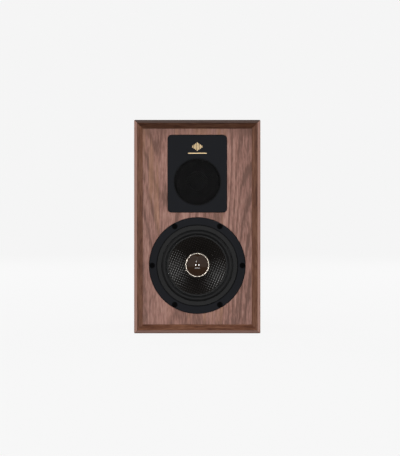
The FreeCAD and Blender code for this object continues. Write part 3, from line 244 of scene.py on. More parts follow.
class Finish:
    """A material. Constants go on the shader's own sockets by name."""

    made = {}

    def __init__(self, name, **shader):
        self.material = bpy.data.materials.new(name)
        self.material.use_nodes = True
        self.tree = self.material.node_tree
        self.shader = self.tree.nodes["Principled BSDF"]
        for socket, value in shader.items():
            label = socket.replace("_", " ").title().replace("Ior", "IOR")
            self.shader.inputs[label].default_value = value
        Finish.made[name] = self.material

    def node(self, kind, settings, values, output=0):
        node = self.tree.nodes.new(kind)
        for name, value in settings.items():
            if name == "stops":
                self.set_stops(node.color_ramp, value)
            else:
                setattr(node, name, value)
        for socket, value in values.items():
            if isinstance(value, Signal):
                self.tree.links.new(value.socket, node.inputs[socket])
            else:
                node.inputs[socket].default_value = value
        return Signal(self, node.outputs[output])

    def set_stops(self, ramp, stops):
        while len(ramp.elements) > 1:
            ramp.elements.remove(ramp.elements[-1])
        for i, (place, colour) in enumerate(stops):
            element = ramp.elements[0] if i == 0 else ramp.elements.new(place)
            element.position = place
            element.color = (*colour, 1)

    def feed(self, socket, value):
        self.tree.links.new(value.socket, self.shader.inputs[socket])

    def place(self, stretch=(1, 1, 1), shift=(0, 0, 0)):
        """Object coordinates, multiplied so that a pattern is drawn out where the factor is small."""
        point = self.node("ShaderNodeTexCoord", {}, {}, output="Object")
        moved = self.node("ShaderNodeVectorMath", {"operation": "ADD"}, {0: point, 1: shift})
        return self.node("ShaderNodeVectorMath", {"operation": "MULTIPLY"}, {0: moved, 1: stretch})

    def axes(self):
        """The x, y and z of a point in metres."""
        point = self.node("ShaderNodeTexCoord", {}, {}, output="Object")
        split = self.node("ShaderNodeSeparateXYZ", {}, {0: point})
        outputs = split.socket.node.outputs
        return [Signal(self, outputs[i]) for i in range(3)]

    def noise(self, vector, scale, detail=3.0, roughness=0.5, distortion=0.0):
        values = {"Vector": vector, "Scale": scale, "Detail": detail, "Roughness": roughness}
        return self.node("ShaderNodeTexNoise", {}, {**values, "Distortion": distortion})

    def ramp(self, value, *stops):
        return self.node("ShaderNodeValToRGB", {"stops": stops}, {0: value})

    def mix(self, factor, first, second):
        first, second = ((*c, 1) if isinstance(c, tuple) else c for c in (first, second))
        colours = {0: factor, 6: first, 7: second}
        return self.node("ShaderNodeMix", {"data_type": "RGBA"}, colours, output=2)

    def base(self):
        """The colour that Base Color has so far, to paint something over it."""
        return Signal(self, self.shader.inputs["Base Color"].links[0].from_socket)

    def threads(self, width):
        """A grid of rounded squares of that width, as crossing threads make."""
        x, _, z = self.axes()
        return (x * (math.pi / width)).sine().size() * (z * (math.pi / width)).sine().size()

    def bump(self, height, depth, strength=1.0):
        values = {"Strength": strength, "Distance": depth, "Height": height}
        self.feed("Normal", self.node("ShaderNodeBump", {}, values))


def shaded(colour, factor):
    return tuple(min(1.0, c * factor) for c in colour)


def dress(name, *nodes):
    """Gives CAD nodes or pieces a finish by name."""
    for item in nodes:
        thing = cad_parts[item] if isinstance(item, str) else item
        thing.data.materials.clear()
        thing.data.materials.append(Finish.made[name])


print("shader helpers", Signal.__name__, Finish.__name__)


# %% [markdown]
# The set's cloth and the air over it are pale where they are looked at and dim as a source of light, as
# in a studio where the backdrop is lit by lamps that don't reach the object. Light Path tells the two
# apart. The cloth glows a little less than the air, because the lamps add a little.

# %% The set's finish
BACKDROP = 0.915
PAPER_GLOW = 0.905
DIM = 0.15
paper = Finish("studio_paper", Roughness=1.0, specular_ior_level=0.0, emission_strength=1.0)
paper.shader.inputs["Base Color"].default_value = (0.035, 0.035, 0.035, 1)
looked_at = paper.node("ShaderNodeLightPath", {}, {}, output="Is Camera Ray")
paper.feed("Emission Color", paper.mix(looked_at, (DIM,) * 3, (PAPER_GLOW,) * 3))
dish.data.materials.append(paper.material)

air = bpy.data.worlds.new("studio_air")
air.use_nodes = True
air_nodes, air_links = air.node_tree.nodes, air.node_tree.links
air_nodes["Background"].inputs["Color"].default_value = (BACKDROP, BACKDROP, BACKDROP, 1)
air_path = air_nodes.new("ShaderNodeLightPath")
air_range = air_nodes.new("ShaderNodeMapRange")
air_range.inputs["To Min"].default_value = DIM
air_range.inputs["To Max"].default_value = 1.0
air_links.new(air_path.outputs["Is Camera Ray"], air_range.inputs["Value"])
air_links.new(air_range.outputs["Result"], air_nodes["Background"].inputs["Strength"])
bpy.context.scene.world = air
bpy.context.scene.view_settings.view_transform = "Standard"
bpy.context.scene.view_settings.look = "None"
print("backdrop", BACKDROP, "as light", DIM)

# %% [markdown]
# Walnut has three scales: a slow change of tone across the board, streaks a millimetre or two wide along
# the grain, and pores that show as short dark scratches. All are noise drawn out along the grain, and a
# slow wander bends them. Where the saw met the growth rings at a slant, the rings show as long pointed
# arches: the sine of a slow noise that is drawn out too. The veneer is cut from a solid texture, so it
# needs no unwrapping. The trims are darker, redder wood with painted shade on the bevels that slope away
# from the lamps. Painted shade makes the top trim darkest and the bottom one lighter, and it gives the
# flat band at the edge of the front a tone of its own beside each bevel. A painted shadow of the top trim
# darkens the baffle towards its top.

# %% Walnut
ALONG_X, ALONG_Z = 0, 2
WALNUT_DARK = (0.135, 0.061, 0.043)
WALNUT_MID = (0.264, 0.127, 0.098)
WALNUT_LIGHT = (0.365, 0.200, 0.158)
WALNUT_WARM = (0.330, 0.165, 0.085)
BAFFLE_TONES = WALNUT_DARK, WALNUT_MID, WALNUT_LIGHT, WALNUT_WARM
# Trim tones: darker, redder wood, with painted shade for the bevels that slope away from the lamps.
BEVEL_TONES_AND_SHADE = (0.062, 0.023, 0.013), (0.135, 0.055, 0.031), (0.195, 0.094, 0.056), (0.158, 0.061, 0.028)
WANDER = 0.006
RING_COUNT = 150
BAND_EDGE = 0.6 * MM


def drawn_out(along, factor):
    return tuple(factor if axis == along else 1 for axis in range(3))


def walnut(name, along, shift, tones, tone=1.0, band=None, arch=0.35, trim_shadow=None):
    """
    Walnut with its grain along an axis. The tone factor scales all tones: a change of tone on the panels,
    painted shade on the trims. A band is (axis, centre, reach, shade): another tone beyond that reach, set
    per
    side as painted shade. A trim shadow is (start, end): the heights between which the wood is painted
    darker, as painted shadow of the top trim.
    """
    dark, mid, light, warm_tone = [shaded(colour, tone) for colour in tones]
    finish = Finish(name, Roughness=0.5, specular_ior_level=0.22)
    wander = finish.noise(finish.place(drawn_out(along, 0.35), shift), 14, 2)
    sway = finish.node("ShaderNodeCombineXYZ", {}, {0: wander, 1: wander, 2: wander})
    straight = finish.place((1, 1, 1), shift)
    swayed = {0: sway, 1: (WANDER,) * 3, 2: straight}
    bent = finish.node("ShaderNodeVectorMath", {"operation": "MULTIPLY_ADD"}, swayed)

    def grain(factor, scale, detail=3.0, roughness=0.6):
        values = {0: bent, 1: drawn_out(along, factor)}
        point = finish.node("ShaderNodeVectorMath", {"operation": "MULTIPLY"}, values)
        return finish.noise(point, scale, detail, roughness)

    board = grain(0.10, 22, 2)
    streak = grain(0.055, 330, 4, 0.65)
    thread = grain(0.075, 900, 2)
    fleck = grain(0.22, 420, 2)
    rings = ((grain(0.12, 9, 1) * RING_COUNT).sine() * 0.5 + 0.5).power(3)
    figure = board * 0.20 + streak * 0.52 + thread * 0.26 + fleck * 0.26 - rings * 0.12 * arch - 0.105
    colour = finish.ramp(figure, (0.38, dark), (0.50, mid), (0.62, light))
    warm = grain(0.08, 60, 2).between(0.54, 0.68)
    colour = finish.mix(warm * 0.5, colour, warm_tone)
    pore = grain(0.03, 1700, 1, 0.4).between(0.60, 0.68)
    colour = finish.mix(pore * 0.45, colour, shaded(dark, 0.7))
    # Painted shade: the flat band at the front edge gets its own tone on each side.
    if band is not None:
        axis, centre, reach, band_shade = band
        edge = ((finish.axes()[axis] - centre).size() - reach).between(0.0, BAND_EDGE)
        colour = finish.mix(edge * 0.8, colour, shaded(WALNUT_LIGHT, band_shade))
    # Painted shadow of the top trim: the baffle is painted darker towards its top.
    if trim_shadow is not None:
        colour = finish.mix(finish.axes()[2].between(*trim_shadow) * 0.34, colour, dark)
    finish.feed("Base Color", colour)
    finish.feed("Roughness", 0.44 + streak * 0.1 + pore * 0.25)
    finish.bump(streak * 0.25 - pore, 0.00006, 0.6)


MID_HEIGHT = (CABINET_LOW.z + CABINET_HIGH.z) / 2
BAND_WIDTH = 4.7 * MM
# Heights of the painted shadow that the top trim casts on the baffle.
BAFFLE_TRIM_SHADOW = (0.306, 0.322)
side_reach = CABINET_HIGH.x - BAND_WIDTH
level_reach = CABINET_HIGH.z - MID_HEIGHT - BAND_WIDTH
# The bands' last numbers are painted shade: darkest on top, lighter at the bottom, lightest at the sides.
upright_band = (0, 0.0, side_reach, 0.90)
top_band = (2, MID_HEIGHT, level_reach, 0.15)
bottom_band = (2, MID_HEIGHT, level_reach, 0.44)
walnut("walnut_baffle", ALONG_Z, (0.31, 0.0, 0.4), BAFFLE_TONES, 1.0, arch=1.0, trim_shadow=BAFFLE_TRIM_SHADOW)
walnut("walnut_left", ALONG_Z, (1.7, 0.5, 0.9), BAFFLE_TONES, 0.94)
walnut("walnut_right", ALONG_Z, (2.9, 1.5, 0.2), BAFFLE_TONES, 0.94)
walnut("walnut_level", ALONG_X, (0.6, 2.2, 1.3), BAFFLE_TONES, 0.94)
walnut("walnut_rear", ALONG_Z, (4.1, 0.8, 2.6), BAFFLE_TONES, 0.92)
# The trims' tone factors are painted shade: the top trim darker and the bottom one lighter than the sides.
walnut("walnut_trim_upright", ALONG_Z, (5.3, 0.2, 0.7), BEVEL_TONES_AND_SHADE, 1.03, upright_band)
walnut("walnut_trim_top", ALONG_X, (0.9, 3.4, 0.1), BEVEL_TONES_AND_SHADE, 0.58, top_band)
walnut("walnut_trim_bottom", ALONG_X, (3.9, 1.4, 1.1), BEVEL_TONES_AND_SHADE, 1.18, bottom_band)
dress("walnut_baffle", "front_baffle")
dress("walnut_left", "left_side_panel")
dress("walnut_right", "right_side_panel")
dress("walnut_level", "top_panel", "bottom_panel")
dress("walnut_rear", "back_panel")
dress("walnut_trim_upright", "front_trim_left", "front_trim_right")
dress("walnut_trim_top", "front_trim_top")
dress("walnut_trim_bottom", "front_trim_bottom")
print("walnut finishes", sum(name.startswith("walnut") for name in Finish.made))

# %% [markdown]
# Most of the black parts are moulded or powder coated. What tells them apart is the grain: a moulding
# copies the fine spark texture of its tool, and powder melts into soft dimples. Both are noise in the
# bump and a little in the roughness, over a colour that is never quite even.


# %% Mouldings, coats and rubber
def grained(name, colour, roughness, grain, depth, uneven=0.12, **shader):
    """A matt or satin surface with an all-over grain of that size in metres."""
    finish = Finish(name, Roughness=roughness, **shader)
    point = finish.place()
    grit = finish.noise(point, 1 / grain, 2, 0.6)
    cloud = finish.noise(point, 35, 3)
    low, high = shaded(colour, 1 - uneven), shaded(colour, 1 + uneven)
    finish.feed("Base Color", finish.mix(cloud * 0.7 + grit * 0.3, low, high))
    finish.feed("Roughness", roughness + (grit - 0.5) * 0.12 + (cloud - 0.5) * 0.06)
    finish.bump(grit, depth, 0.8)
    return finish


coat = grained("powder_coat", (0.0118, 0.0124, 0.0148), 0.70, 0.0006, 0.00005, specular_ior_level=0.05)
grained("satin_faceplate", (0.0118, 0.0125, 0.0148), 0.70, 0.0004, 0.00002, specular_ior_level=0.05)
grained("spark_moulding", (0.0150, 0.0152, 0.0160), 0.52, 0.0005, 0.00006)
grained("smooth_moulding", (0.0140, 0.0140, 0.0150), 0.34, 0.0009, 0.00002)
grained("black_zinc", (0.0012, 0.0012, 0.0014), 0.70, 0.0003, 0.00002, specular_ior_level=0.03)
grained("soft_rubber", (0.0075, 0.0077, 0.0079), 0.48, 0.0012, 0.00002, specular_ior_level=0.10)
# The tweeter chassis is near black, darker than the other mouldings, as painted shade behind the grille.
grained("chassis_moulding", (0.0010, 0.0010, 0.0012), 0.80, 0.0005, 0.00006, specular_ior_level=0.03)
grained("closed_foam", (0.0220, 0.0220, 0.0230), 0.85, 0.0007, 0.00012, 0.3)
grained("insulator", (0.0180, 0.0180, 0.0180), 0.30, 0.0010, 0.00001)
grained("cap_red", (0.3800, 0.0080, 0.0060), 0.16, 0.0020, 0.00001, coat_weight=0.6, coat_roughness=0.08)
grained("cap_black", (0.0120, 0.0120, 0.0130), 0.16, 0.0020, 0.00001, coat_weight=0.6, coat_roughness=0.08)
grained("ferrite_ceramic", (0.0500, 0.0490, 0.0500), 0.62, 0.0008, 0.00010, 0.25)
grained("cement_brick", (0.6200, 0.6000, 0.5500), 0.80, 0.0006, 0.00010)
grained("film_wrap", (0.5600, 0.4300, 0.0900), 0.26, 0.0030, 0.00003, coat_weight=0.3)
grained("fibreboard", (0.4200, 0.2900, 0.1750), 0.86, 0.0007, 0.00015, 0.22)
dress("powder_coat", "woofer_frame")
dress("satin_faceplate", "tweeter_faceplate")
dress("spark_moulding", "terminal_cup", "tweeter_rear_chamber")
dress("chassis_moulding", "tweeter_chassis")
dress("black_zinc", "woofer_screws", "tweeter_screws", "terminal_screws")
dress("closed_foam", "woofer_gasket", "tweeter_gasket")
dress("insulator", "post_bushes")
dress("cap_red", "post_knob_upper_plus", "post_knob_lower_plus")
dress("cap_black", "post_knob_upper_minus", "post_knob_lower_minus")
dress("ferrite_ceramic", "woofer_magnet", "tweeter_magnet")
dress("cement_brick", "crossover_resistors")
dress("film_wrap", "crossover_capacitors")
dress("fibreboard", "window_brace")
print("black and plain finishes", len(Finish.made))

# %% [markdown]
# The woofer's flange carries painted shade. The seats round the six screws and a groove turned into its
# face are painted darker than its coat, by place, where shade falls in those recesses. The flange's four
# quarters mirror each other, so distances are measured in the upper right one alone.

# %% Painted shade in the flange's screw seats and groove
SCREW_CIRCLE = 71.8 * MM
SEAT_OUTER, SEAT_INNER = 4.9 * MM, 4.3 * MM
LINE_CIRCLE = 64.0 * MM
LINE_OUTER, LINE_INNER = 1.5 * MM, 0.8 * MM
coat_x, _, coat_z = coat.axes()
across = (coat_x - WOOFER.x).size()
upward = (coat_z - WOOFER.z).size()


def distance_from(x, z):
    """Distance in the flange's plane from a place in its upper right quarter."""
    return ((across - x).squared() + (upward - z).squared()).power(0.5)


level_seat = distance_from(SCREW_CIRCLE, 0)
slant_seat = distance_from(SCREW_CIRCLE / 2, SCREW_CIRCLE * math.sin(math.pi / 3))
seat_shade = level_seat.minimum(slant_seat).between(SEAT_OUTER, SEAT_INNER)
groove_shade = (distance_from(0, 0) - LINE_CIRCLE).size().between(LINE_OUTER, LINE_INNER)
# Painted shade: the screw seats and the groove are painted near black over the coat.
painted_recess_shade = seat_shade.maximum(groove_shade * 0.85)
coat.feed("Base Color", coat.mix(painted_recess_shade, coat.base(), (0.0012, 0.0012, 0.0014)))
print("screw circle", SCREW_CIRCLE, "turned line", LINE_CIRCLE)

# %% [markdown]
# Metals differ in tint and in how their polish was left. Scratches are a fine noise, drawn out along the
# way the metal was brushed where it was brushed one way. They change the roughness and the bump, and
# leave the tint to a slow cloud.


# %% Metals
def brushed(name, colour, roughness, along=(1, 1, 1), scratch=0.1, depth=0.00001):
    finish = Finish(name, Metallic=1.0, Roughness=roughness)
    line = finish.noise(finish.place(along), 2600, 2, 0.6)
    cloud = finish.noise(finish.place(), 60, 3)
    finish.feed("Base Color", finish.mix(cloud, shaded(colour, 0.88), shaded(colour, 1.08)))
    finish.feed("Roughness", roughness + (line - 0.5) * scratch + (cloud - 0.5) * 0.08)
    finish.bump(line, depth, 0.5)


brushed("rose_chrome", (0.95, 0.85, 0.74), 0.34, scratch=0.02, depth=0.0)
brushed("gold_plate", (0.83, 0.60, 0.27), 0.20)
brushed("gold_foil", (0.36, 0.27, 0.155), 0.40, (0.05, 1, 1), 0.2)
brushed("zinc_plate", (0.56, 0.56, 0.54), 0.34, (1, 1, 0.1), 0.2)
brushed("braided_copper", (0.62, 0.38, 0.20), 0.36)
dress("gold_foil", "tweeter_badge")
dress("gold_plate", "post_studs", "jumper_links", "post_inner_nuts")
dress("gold_plate", *[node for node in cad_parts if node.startswith("post_washer")])
dress("zinc_plate", "woofer_top_plate", "woofer_yoke", "tweeter_top_plate", "tweeter_yoke")
print("finishes so far", len(Finish.made))

# %% [markdown]
# Wound copper shows its turns. The coils of the drivers and of the crossover are rings. A sine of
# the height along the ring's axis gives each turn its round top in the bump, and it paints shade between
# the turns in the colour.


# %% Wound copper
def wound(name, colour, pitch):
    finish = Finish(name, Metallic=0.85, Roughness=0.32, coat_weight=0.3)
    height = finish.axes()[1]
    turn = (height * (2 * math.pi / pitch)).sine() * 0.5 + 0.5
    # Painted shade: the colour darkens to 0.35 of itself between the turns.
    finish.feed("Base Color", finish.mix(turn, shaded(colour, 0.35), colour))
    finish.feed("Roughness", 0.45 - turn * 0.18)
    finish.bump(turn, pitch / 4, 0.8)


wound("coil_wire", (0.60, 0.24, 0.11), 0.0004)
wound("choke_wire", (0.62, 0.27, 0.12), 0.0011)
dress("coil_wire", "woofer_voice_coil", "tweeter_voice_coil")
dress("choke_wire", "crossover_inductors")
print("wound copper", [name for name in Finish.made if name.endswith("wire")])

# %% [markdown]
# The small boards are laminates, and those on the drivers carry tinned tags. A rounded grid tells the
# laminate's weave, and a mask by place paints the tags, which lie further back than their boards. The
# sleeves of the leads are red to one side of the cabinet's middle and black to the other.


# %% Boards and leads
def laminate(name, colour, weave):
    finish = Finish(name, Roughness=0.45, coat_weight=0.4)
    grid = finish.threads(weave)
    mottled = finish.noise(finish.place(), 220, 3)
    low, high = shaded(colour, 0.6), shaded(colour, 1.25)
    finish.feed("Base Color", finish.mix(grid * 0.5 + mottled * 0.5, low, high))
    finish.bump(grid, 0.00004, 0.6)
    return finish


def tagged(name, edge):
    """Brown fibre with tinned tags behind that depth."""
    finish = laminate(name, (0.17, 0.065, 0.026), 0.0008)
    tin = finish.axes()[1] > edge
    finish.feed("Base Color", finish.mix(tin, finish.base(), (0.62, 0.61, 0.58)))
    finish.feed("Metallic", tin * 0.95)
    finish.feed("Roughness", 0.5 - tin * 0.2)


WOOFER_TAG_REACH = 2.5 * MM
TWEETER_FIBRE = 1.6 * MM
laminate("green_laminate", (0.018, 0.115, 0.045), 0.0007)
tagged("woofer_tag_fibre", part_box("woofer_terminals")[1].y - WOOFER_TAG_REACH)
tagged("tweeter_tag_fibre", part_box("tweeter_terminals")[0].y + TWEETER_FIBRE)
lead = Finish("lead_sleeves", Roughness=0.38)
lead_x = lead.axes()[0]
lead.feed("Base Color", lead.mix(lead_x > 0.0, (0.012, 0.012, 0.012), (0.42, 0.015, 0.010)))
lead.bump(lead.noise(lead.place(), 900, 2), 0.00003, 0.5)
dress("green_laminate", "crossover_board")
dress("woofer_tag_fibre", "woofer_terminals")
dress("tweeter_tag_fibre", "tweeter_terminals")
dress("lead_sleeves", "internal_wiring")

# %% [markdown]
# Everything round on the drivers is a turned shape: an outline of radius and depth that goes once round
# the axis. A plane is merged to one point, the point is extruded along the outline, and the line is
# spun. Doubles at the seam and at a pole are merged, and the normals are made to face outwards.


# %% Turning
MERGE = 0.002 * MM
SMOOTH_ANGLE = math.radians(35)


def places(piece):
    """All points of a piece, a row of x, y and z each."""
    flat = np.zeros(len(piece.data.vertices) * 3)
    piece.data.vertices.foreach_get("co", flat)
    return flat.reshape(-1, 3)


def set_places(piece, rows):
    piece.data.vertices.foreach_set("co", rows.reshape(-1))
    piece.data.update()


def outline_piece(name, points):
    """An object whose only content is the open line through those (x, y, z) points."""
    clear_selection()
    bpy.ops.mesh.primitive_plane_add(size=MM)
    piece = bpy.context.object
    piece.name = name
    bpy.ops.object.mode_set(mode="EDIT")
    bpy.ops.mesh.select_all(action="SELECT")
    bpy.ops.mesh.merge(type="CENTER")
    bpy.ops.transform.translate(value=points[0])
    for start, end in zip(points, points[1:]):
        bpy.ops.mesh.extrude_region_move(TRANSFORM_OT_translate={"value": Vector(end) - Vector(start)})
    return piece


def turned(name, outline, axis, steps=144, closed=True):
    """Spins an outline of (radius, depth) in metres; depth grows into the cabinet, from the axis point."""
    path = list(outline) + ([outline[0]] if closed else [])
    piece = outline_piece(name, [(axis.x + r, axis.y + d, axis.z) for r, d in path])
    bpy.ops.mesh.select_all(action="SELECT")
    bpy.ops.mesh.spin(steps=steps, angle=2 * math.pi, center=axis, axis=(0, 1, 0))
    bpy.ops.mesh.select_all(action="SELECT")
    bpy.ops.mesh.remove_doubles(threshold=MERGE)
    bpy.ops.mesh.normals_make_consistent(inside=False)
    bpy.ops.object.mode_set(mode="OBJECT")
    bpy.ops.object.shade_smooth_by_angle(angle=SMOOTH_ANGLE)
    return piece


def arc(centre, radius, start, end, count):
    """Points on an arc, angles in degrees, as (radius, depth)."""
    angles = [math.radians(start + (end - start) * i / count) for i in range(count + 1)]
    return [(centre[0] + radius * math.cos(a), centre[1] + radius * math.sin(a)) for a in angles]


def cap_arc(edge, base, rise, count):
    """A dome's outline from its edge to the axis; it rises towards the listener."""
    radius = (edge**2 + rise**2) / (2 * rise)
    half = math.asin(edge / radius)
    points = []
    for i in range(count + 1):
        angle = half * (1 - i / count)
        points.append((radius * math.sin(angle), base + radius - rise - radius * math.cos(angle)))
    return points


def ring_reach(node, axis):
    """The outer radius of a round CAD node about its driver's axis."""
    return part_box(node)[1].x - axis.x


def front_depth(node):
    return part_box(node)[0].y - BAFFLE


def back_depth(node):
    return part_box(node)[1].y - BAFFLE


print("woofer flange reach", round(ring_reach("woofer_frame", WOOFER), 4))

# %% [markdown]
# The surround is the half roll of rubber that lets the cone move. Its section is an arc of even
# thickness between a glued outer land and a lip on the cone. The rubber bends as the cone moves, but here
# it is only turned.

# %% The woofer's surround
SKIN = 0.9 * MM
ROLL_OUTER = 57.2 * MM
ROLL_INNER = 48.3 * MM
LIP = 46.3 * MM


def roll_weight(piece, axis):
    """Takes each point's place relative to the driver's axis, and sets nothing from it."""
    place = places(piece) - np.array(axis)


def flexing(piece, axis):
    """Moves a ring's place into its mesh and takes its points' places about a driver's axis."""
    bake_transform(piece)
    roll_weight(piece, axis)


def roll_outline(land, lip, base, land_thick, skin, outer, inner, crest, count=28):
    """The closed section of a half roll with its two flat edges."""
    top = base - skin
    half = (outer - inner) / 2
    rise = top - crest
    radius = (half**2 + rise**2) / (2 * rise)
    centre = ((outer + inner) / 2, crest + radius)
    swing = math.degrees(math.asin(min(1, half / radius)))
    over = arc(centre, radius, -90 + swing, -90 - swing, count)
    under = arc(centre, radius - skin, -90 - 0.93 * swing, -90 + 0.93 * swing, count)
    feet = [(inner + 0.6 * skin, base), (outer - 0.6 * skin, base)]
    return [
        (outer + skin, base),
        (outer + 2 * skin, top + land_thick),
        (land, top + land_thick),
        (land, top),
        *over,
        (lip, top),
        (lip, base),
        feet[0],
        *under,
        feet[1],
    ]


surround = turned(
    "woofer_surround_roll",
    roll_outline(
        ring_reach("woofer_surround", WOOFER),
        LIP,
        back_depth("woofer_surround"),
        SKIN,
        SKIN,
        ROLL_OUTER,
        ROLL_INNER,
        front_depth("woofer_surround"),
    ),
    WOOFER,
)
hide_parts("woofer_surround")
dress("soft_rubber", surround)
flexing(surround, WOOFER)
print("surround points", len(surround.data.vertices))

# %% [markdown]
# The cone is cloth: flat black tows, two and a half millimetres wide, woven over and under and set in
# clear resin. The weave is real relief here, not a picture. The cone is turned with a fine mesh and then
# every point of its front is raised by the weave's height at that place: each tow has a lens-shaped
# section and dips where the crossing tow passes over it. The cloth's threads run at a slant. The relief
# fades out under the cap's ring and at the edge where the rubber is glued on.

# %% The woven cone
TOW = 2.6 * MM
WEAVE_TILT = math.radians(23)
WEAVE_RELIEF = 0.42 * MM
CONE_STEPS = 576
CONE_RINGS = 96
NECK = 16.3 * MM
CONE_EDGE = 46.0 * MM
CONE_THICK = 0.8 * MM
RIM = ring_reach("woofer_cone", WOOFER)
RIM_DEPTH = front_depth("woofer_cone")
NECK_DEPTH = back_depth("woofer_cone") - 0.64 * MM
SLOPE = (NECK_DEPTH - RIM_DEPTH) / (CONE_EDGE - NECK)
FADE_START, FADE_RISE = 19.6 * MM, 0.6 * MM
FADE_MARGIN, FADE_FALL = 0.3 * MM, 0.8 * MM
ON_WALL = 0.05 * MM


def weave_height(x, z):
    """Height of the cloth, 0 to 1, over the plane it was woven in."""
    u = (x * math.cos(WEAVE_TILT) + z * math.sin(WEAVE_TILT)) / TOW
    v = (z * math.cos(WEAVE_TILT) - x * math.sin(WEAVE_TILT)) / TOW
    lens_u = np.sqrt(np.maximum(0, 1 - (2.1 * (u - np.floor(u) - 0.5)) ** 2))
    lens_v = np.sqrt(np.maximum(0, 1 - (2.1 * (v - np.floor(v) - 0.5)) ** 2))
    wave_v = 0.5 + 0.5 * np.sin(math.pi * (v + np.floor(u)))
    wave_u = 0.5 - 0.5 * np.sin(math.pi * (u + np.floor(v)))
    warp = lens_u * wave_v
    weft = 0.8 * lens_v * wave_u
    return np.maximum(warp, weft)


wall = [
    (
        NECK + (CONE_EDGE - NECK) * i / CONE_RINGS,
        NECK_DEPTH - (NECK_DEPTH - RIM_DEPTH) * i / CONE_RINGS,
    )
    for i in range(CONE_RINGS + 1)
]
cone_back = [
    (RIM, RIM_DEPTH),
    (RIM, RIM_DEPTH + CONE_THICK),
    (CONE_EDGE + 0.4 * CONE_THICK, RIM_DEPTH + CONE_THICK),
    (NECK + 0.6 * CONE_THICK, NECK_DEPTH + 0.8 * CONE_THICK),
    (NECK, NECK_DEPTH + 0.8 * CONE_THICK),
]
cone = turned("woofer_cone_cloth", wall + cone_back, WOOFER, steps=CONE_STEPS)
place = places(cone)
x, z = place[:, 0] - WOOFER.x, place[:, 2] - WOOFER.z
radius = np.hypot(x, z)
depth = place[:, 1] - BAFFLE
on_front = np.abs(depth - (NECK_DEPTH - (radius - NECK) * SLOPE)) < ON_WALL
rising = np.clip((radius - FADE_START) / FADE_RISE, 0, 1)
falling = np.clip((CONE_EDGE - FADE_MARGIN - radius) / FADE_FALL, 0, 1)
place[:, 1] -= weave_height(x, z) * WEAVE_RELIEF * on_front * (rising * falling)
set_places(cone, place)
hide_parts("woofer_cone")
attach(cone, "woofer_moving")
print("cone faces", len(cone.data.polygons), "raised points", int(on_front.sum()))

# %% [markdown]
# The cloth's finish repeats the weave as shader arithmetic on the same two directions. It paints shade
# into the valleys between the tows and lays fine filaments along whichever tow is on top. Clear resin is
# the shader's coat.

# %% The cone's finish
cloth = Finish("resin_cloth", Roughness=0.4, specular_ior_level=0.05, coat_roughness=0.07, coat_ior=1.5)
cloth_x, _, cloth_z = cloth.axes()
cloth_x = cloth_x - WOOFER.x
cloth_z = cloth_z - WOOFER.z
tow_u = (cloth_x * math.cos(WEAVE_TILT) + cloth_z * math.sin(WEAVE_TILT)) * (1 / TOW)
tow_v = (cloth_z * math.cos(WEAVE_TILT) - cloth_x * math.sin(WEAVE_TILT)) * (1 / TOW)
wave_v = ((tow_v + tow_u.floor()) * math.pi).sine() * 0.5 + 0.5
wave_u = 0.5 - ((tow_u + tow_v.floor()) * math.pi).sine() * 0.5
warp_top = (wave_v - wave_u).between(-0.1, 0.1)
FILAMENTS = 22
fray_u = (tow_u * FILAMENTS * math.pi).sine()
fray_v = (tow_v * FILAMENTS * math.pi).sine()
filament = warp_top * fray_u + (1 - warp_top) * fray_v
valley_u = ((tow_u % 1.0) - 0.5).size()
valley_v = ((tow_v % 1.0) - 0.5).size()
valley = valley_u.maximum(valley_v).between(0.36, 0.5)
mottled = cloth.noise(cloth.place(), 300, 2)
cloth_tone = cloth.mix(mottled, (0.0045, 0.0037, 0.0031), (0.0110, 0.0088, 0.0075))
# Painted shade: the valleys between the tows are painted near black.
cloth.feed("Base Color", cloth.mix(valley * 0.8, cloth_tone, (0.0020, 0.0020, 0.0020)))
cloth.feed("Roughness", 0.36 + filament * 0.04 + valley * 0.3)
cloth.feed("Coat Weight", (1 - valley) * (warp_top * 0.95 + 0.05))
cloth.bump(filament, 0.00002, 0.5)
dress("resin_cloth", cone)
print("cloth nodes", len(cloth.tree.nodes))

# %% [markdown]
# The cap over the coil is a dome of lacquered dark brown with a bright turned ring at its foot. The cap
# is turned with a fine outline, because a clear coat shows every flat. The lacquer is a dull brown under
# that coat, so it stays dark and still shows the small lamps as bright points. The ring has sloping
# sides and a narrow flat crest, so only a thin line of it is bright from the front.

# %% Dust cap and ring
CAP_RADIUS = ring_reach("woofer_dust_cap", WOOFER)
CAP_RISE = 4.6 * MM
CAP_TOP = front_depth("woofer_dust_cap")
CAP_BASE = CAP_TOP + CAP_RISE
CAP_WALL = 0.7 * MM
CAP_FOOT = back_depth("woofer_dust_cap")
CAP_SKIRT, CAP_STEP = 0.9 * MM, 0.6 * MM
cap_inner = CAP_RADIUS - CAP_SKIRT
cap_outline = [
    (cap_inner, CAP_FOOT),
    (CAP_RADIUS, CAP_FOOT - CAP_STEP),
    *cap_arc(CAP_RADIUS, CAP_BASE, CAP_RISE, 28),
    *reversed(cap_arc(cap_inner, CAP_BASE + CAP_WALL / 2, CAP_RISE - CAP_WALL / 2, 20)),
]
cap = turned("woofer_cap_dome", cap_outline, WOOFER)
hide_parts("woofer_dust_cap")
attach(cap, "woofer_moving")
lacquer = Finish(
    "brown_lacquer",
    Roughness=0.6,
    specular_ior_level=0.0,
    coat_weight=1.0,
    coat_roughness=0.02,
    coat_ior=1.45,
)
lacquer_cloud = lacquer.noise(lacquer.place(), 180, 4, 0.6)
lacquer.feed("Base Color", lacquer.mix(lacquer_cloud, (0.022, 0.010, 0.0045), (0.042, 0.021, 0.0100)))
lacquer.feed("Roughness", 0.45 + lacquer_cloud * 0.1)
dress("brown_lacquer", cap)

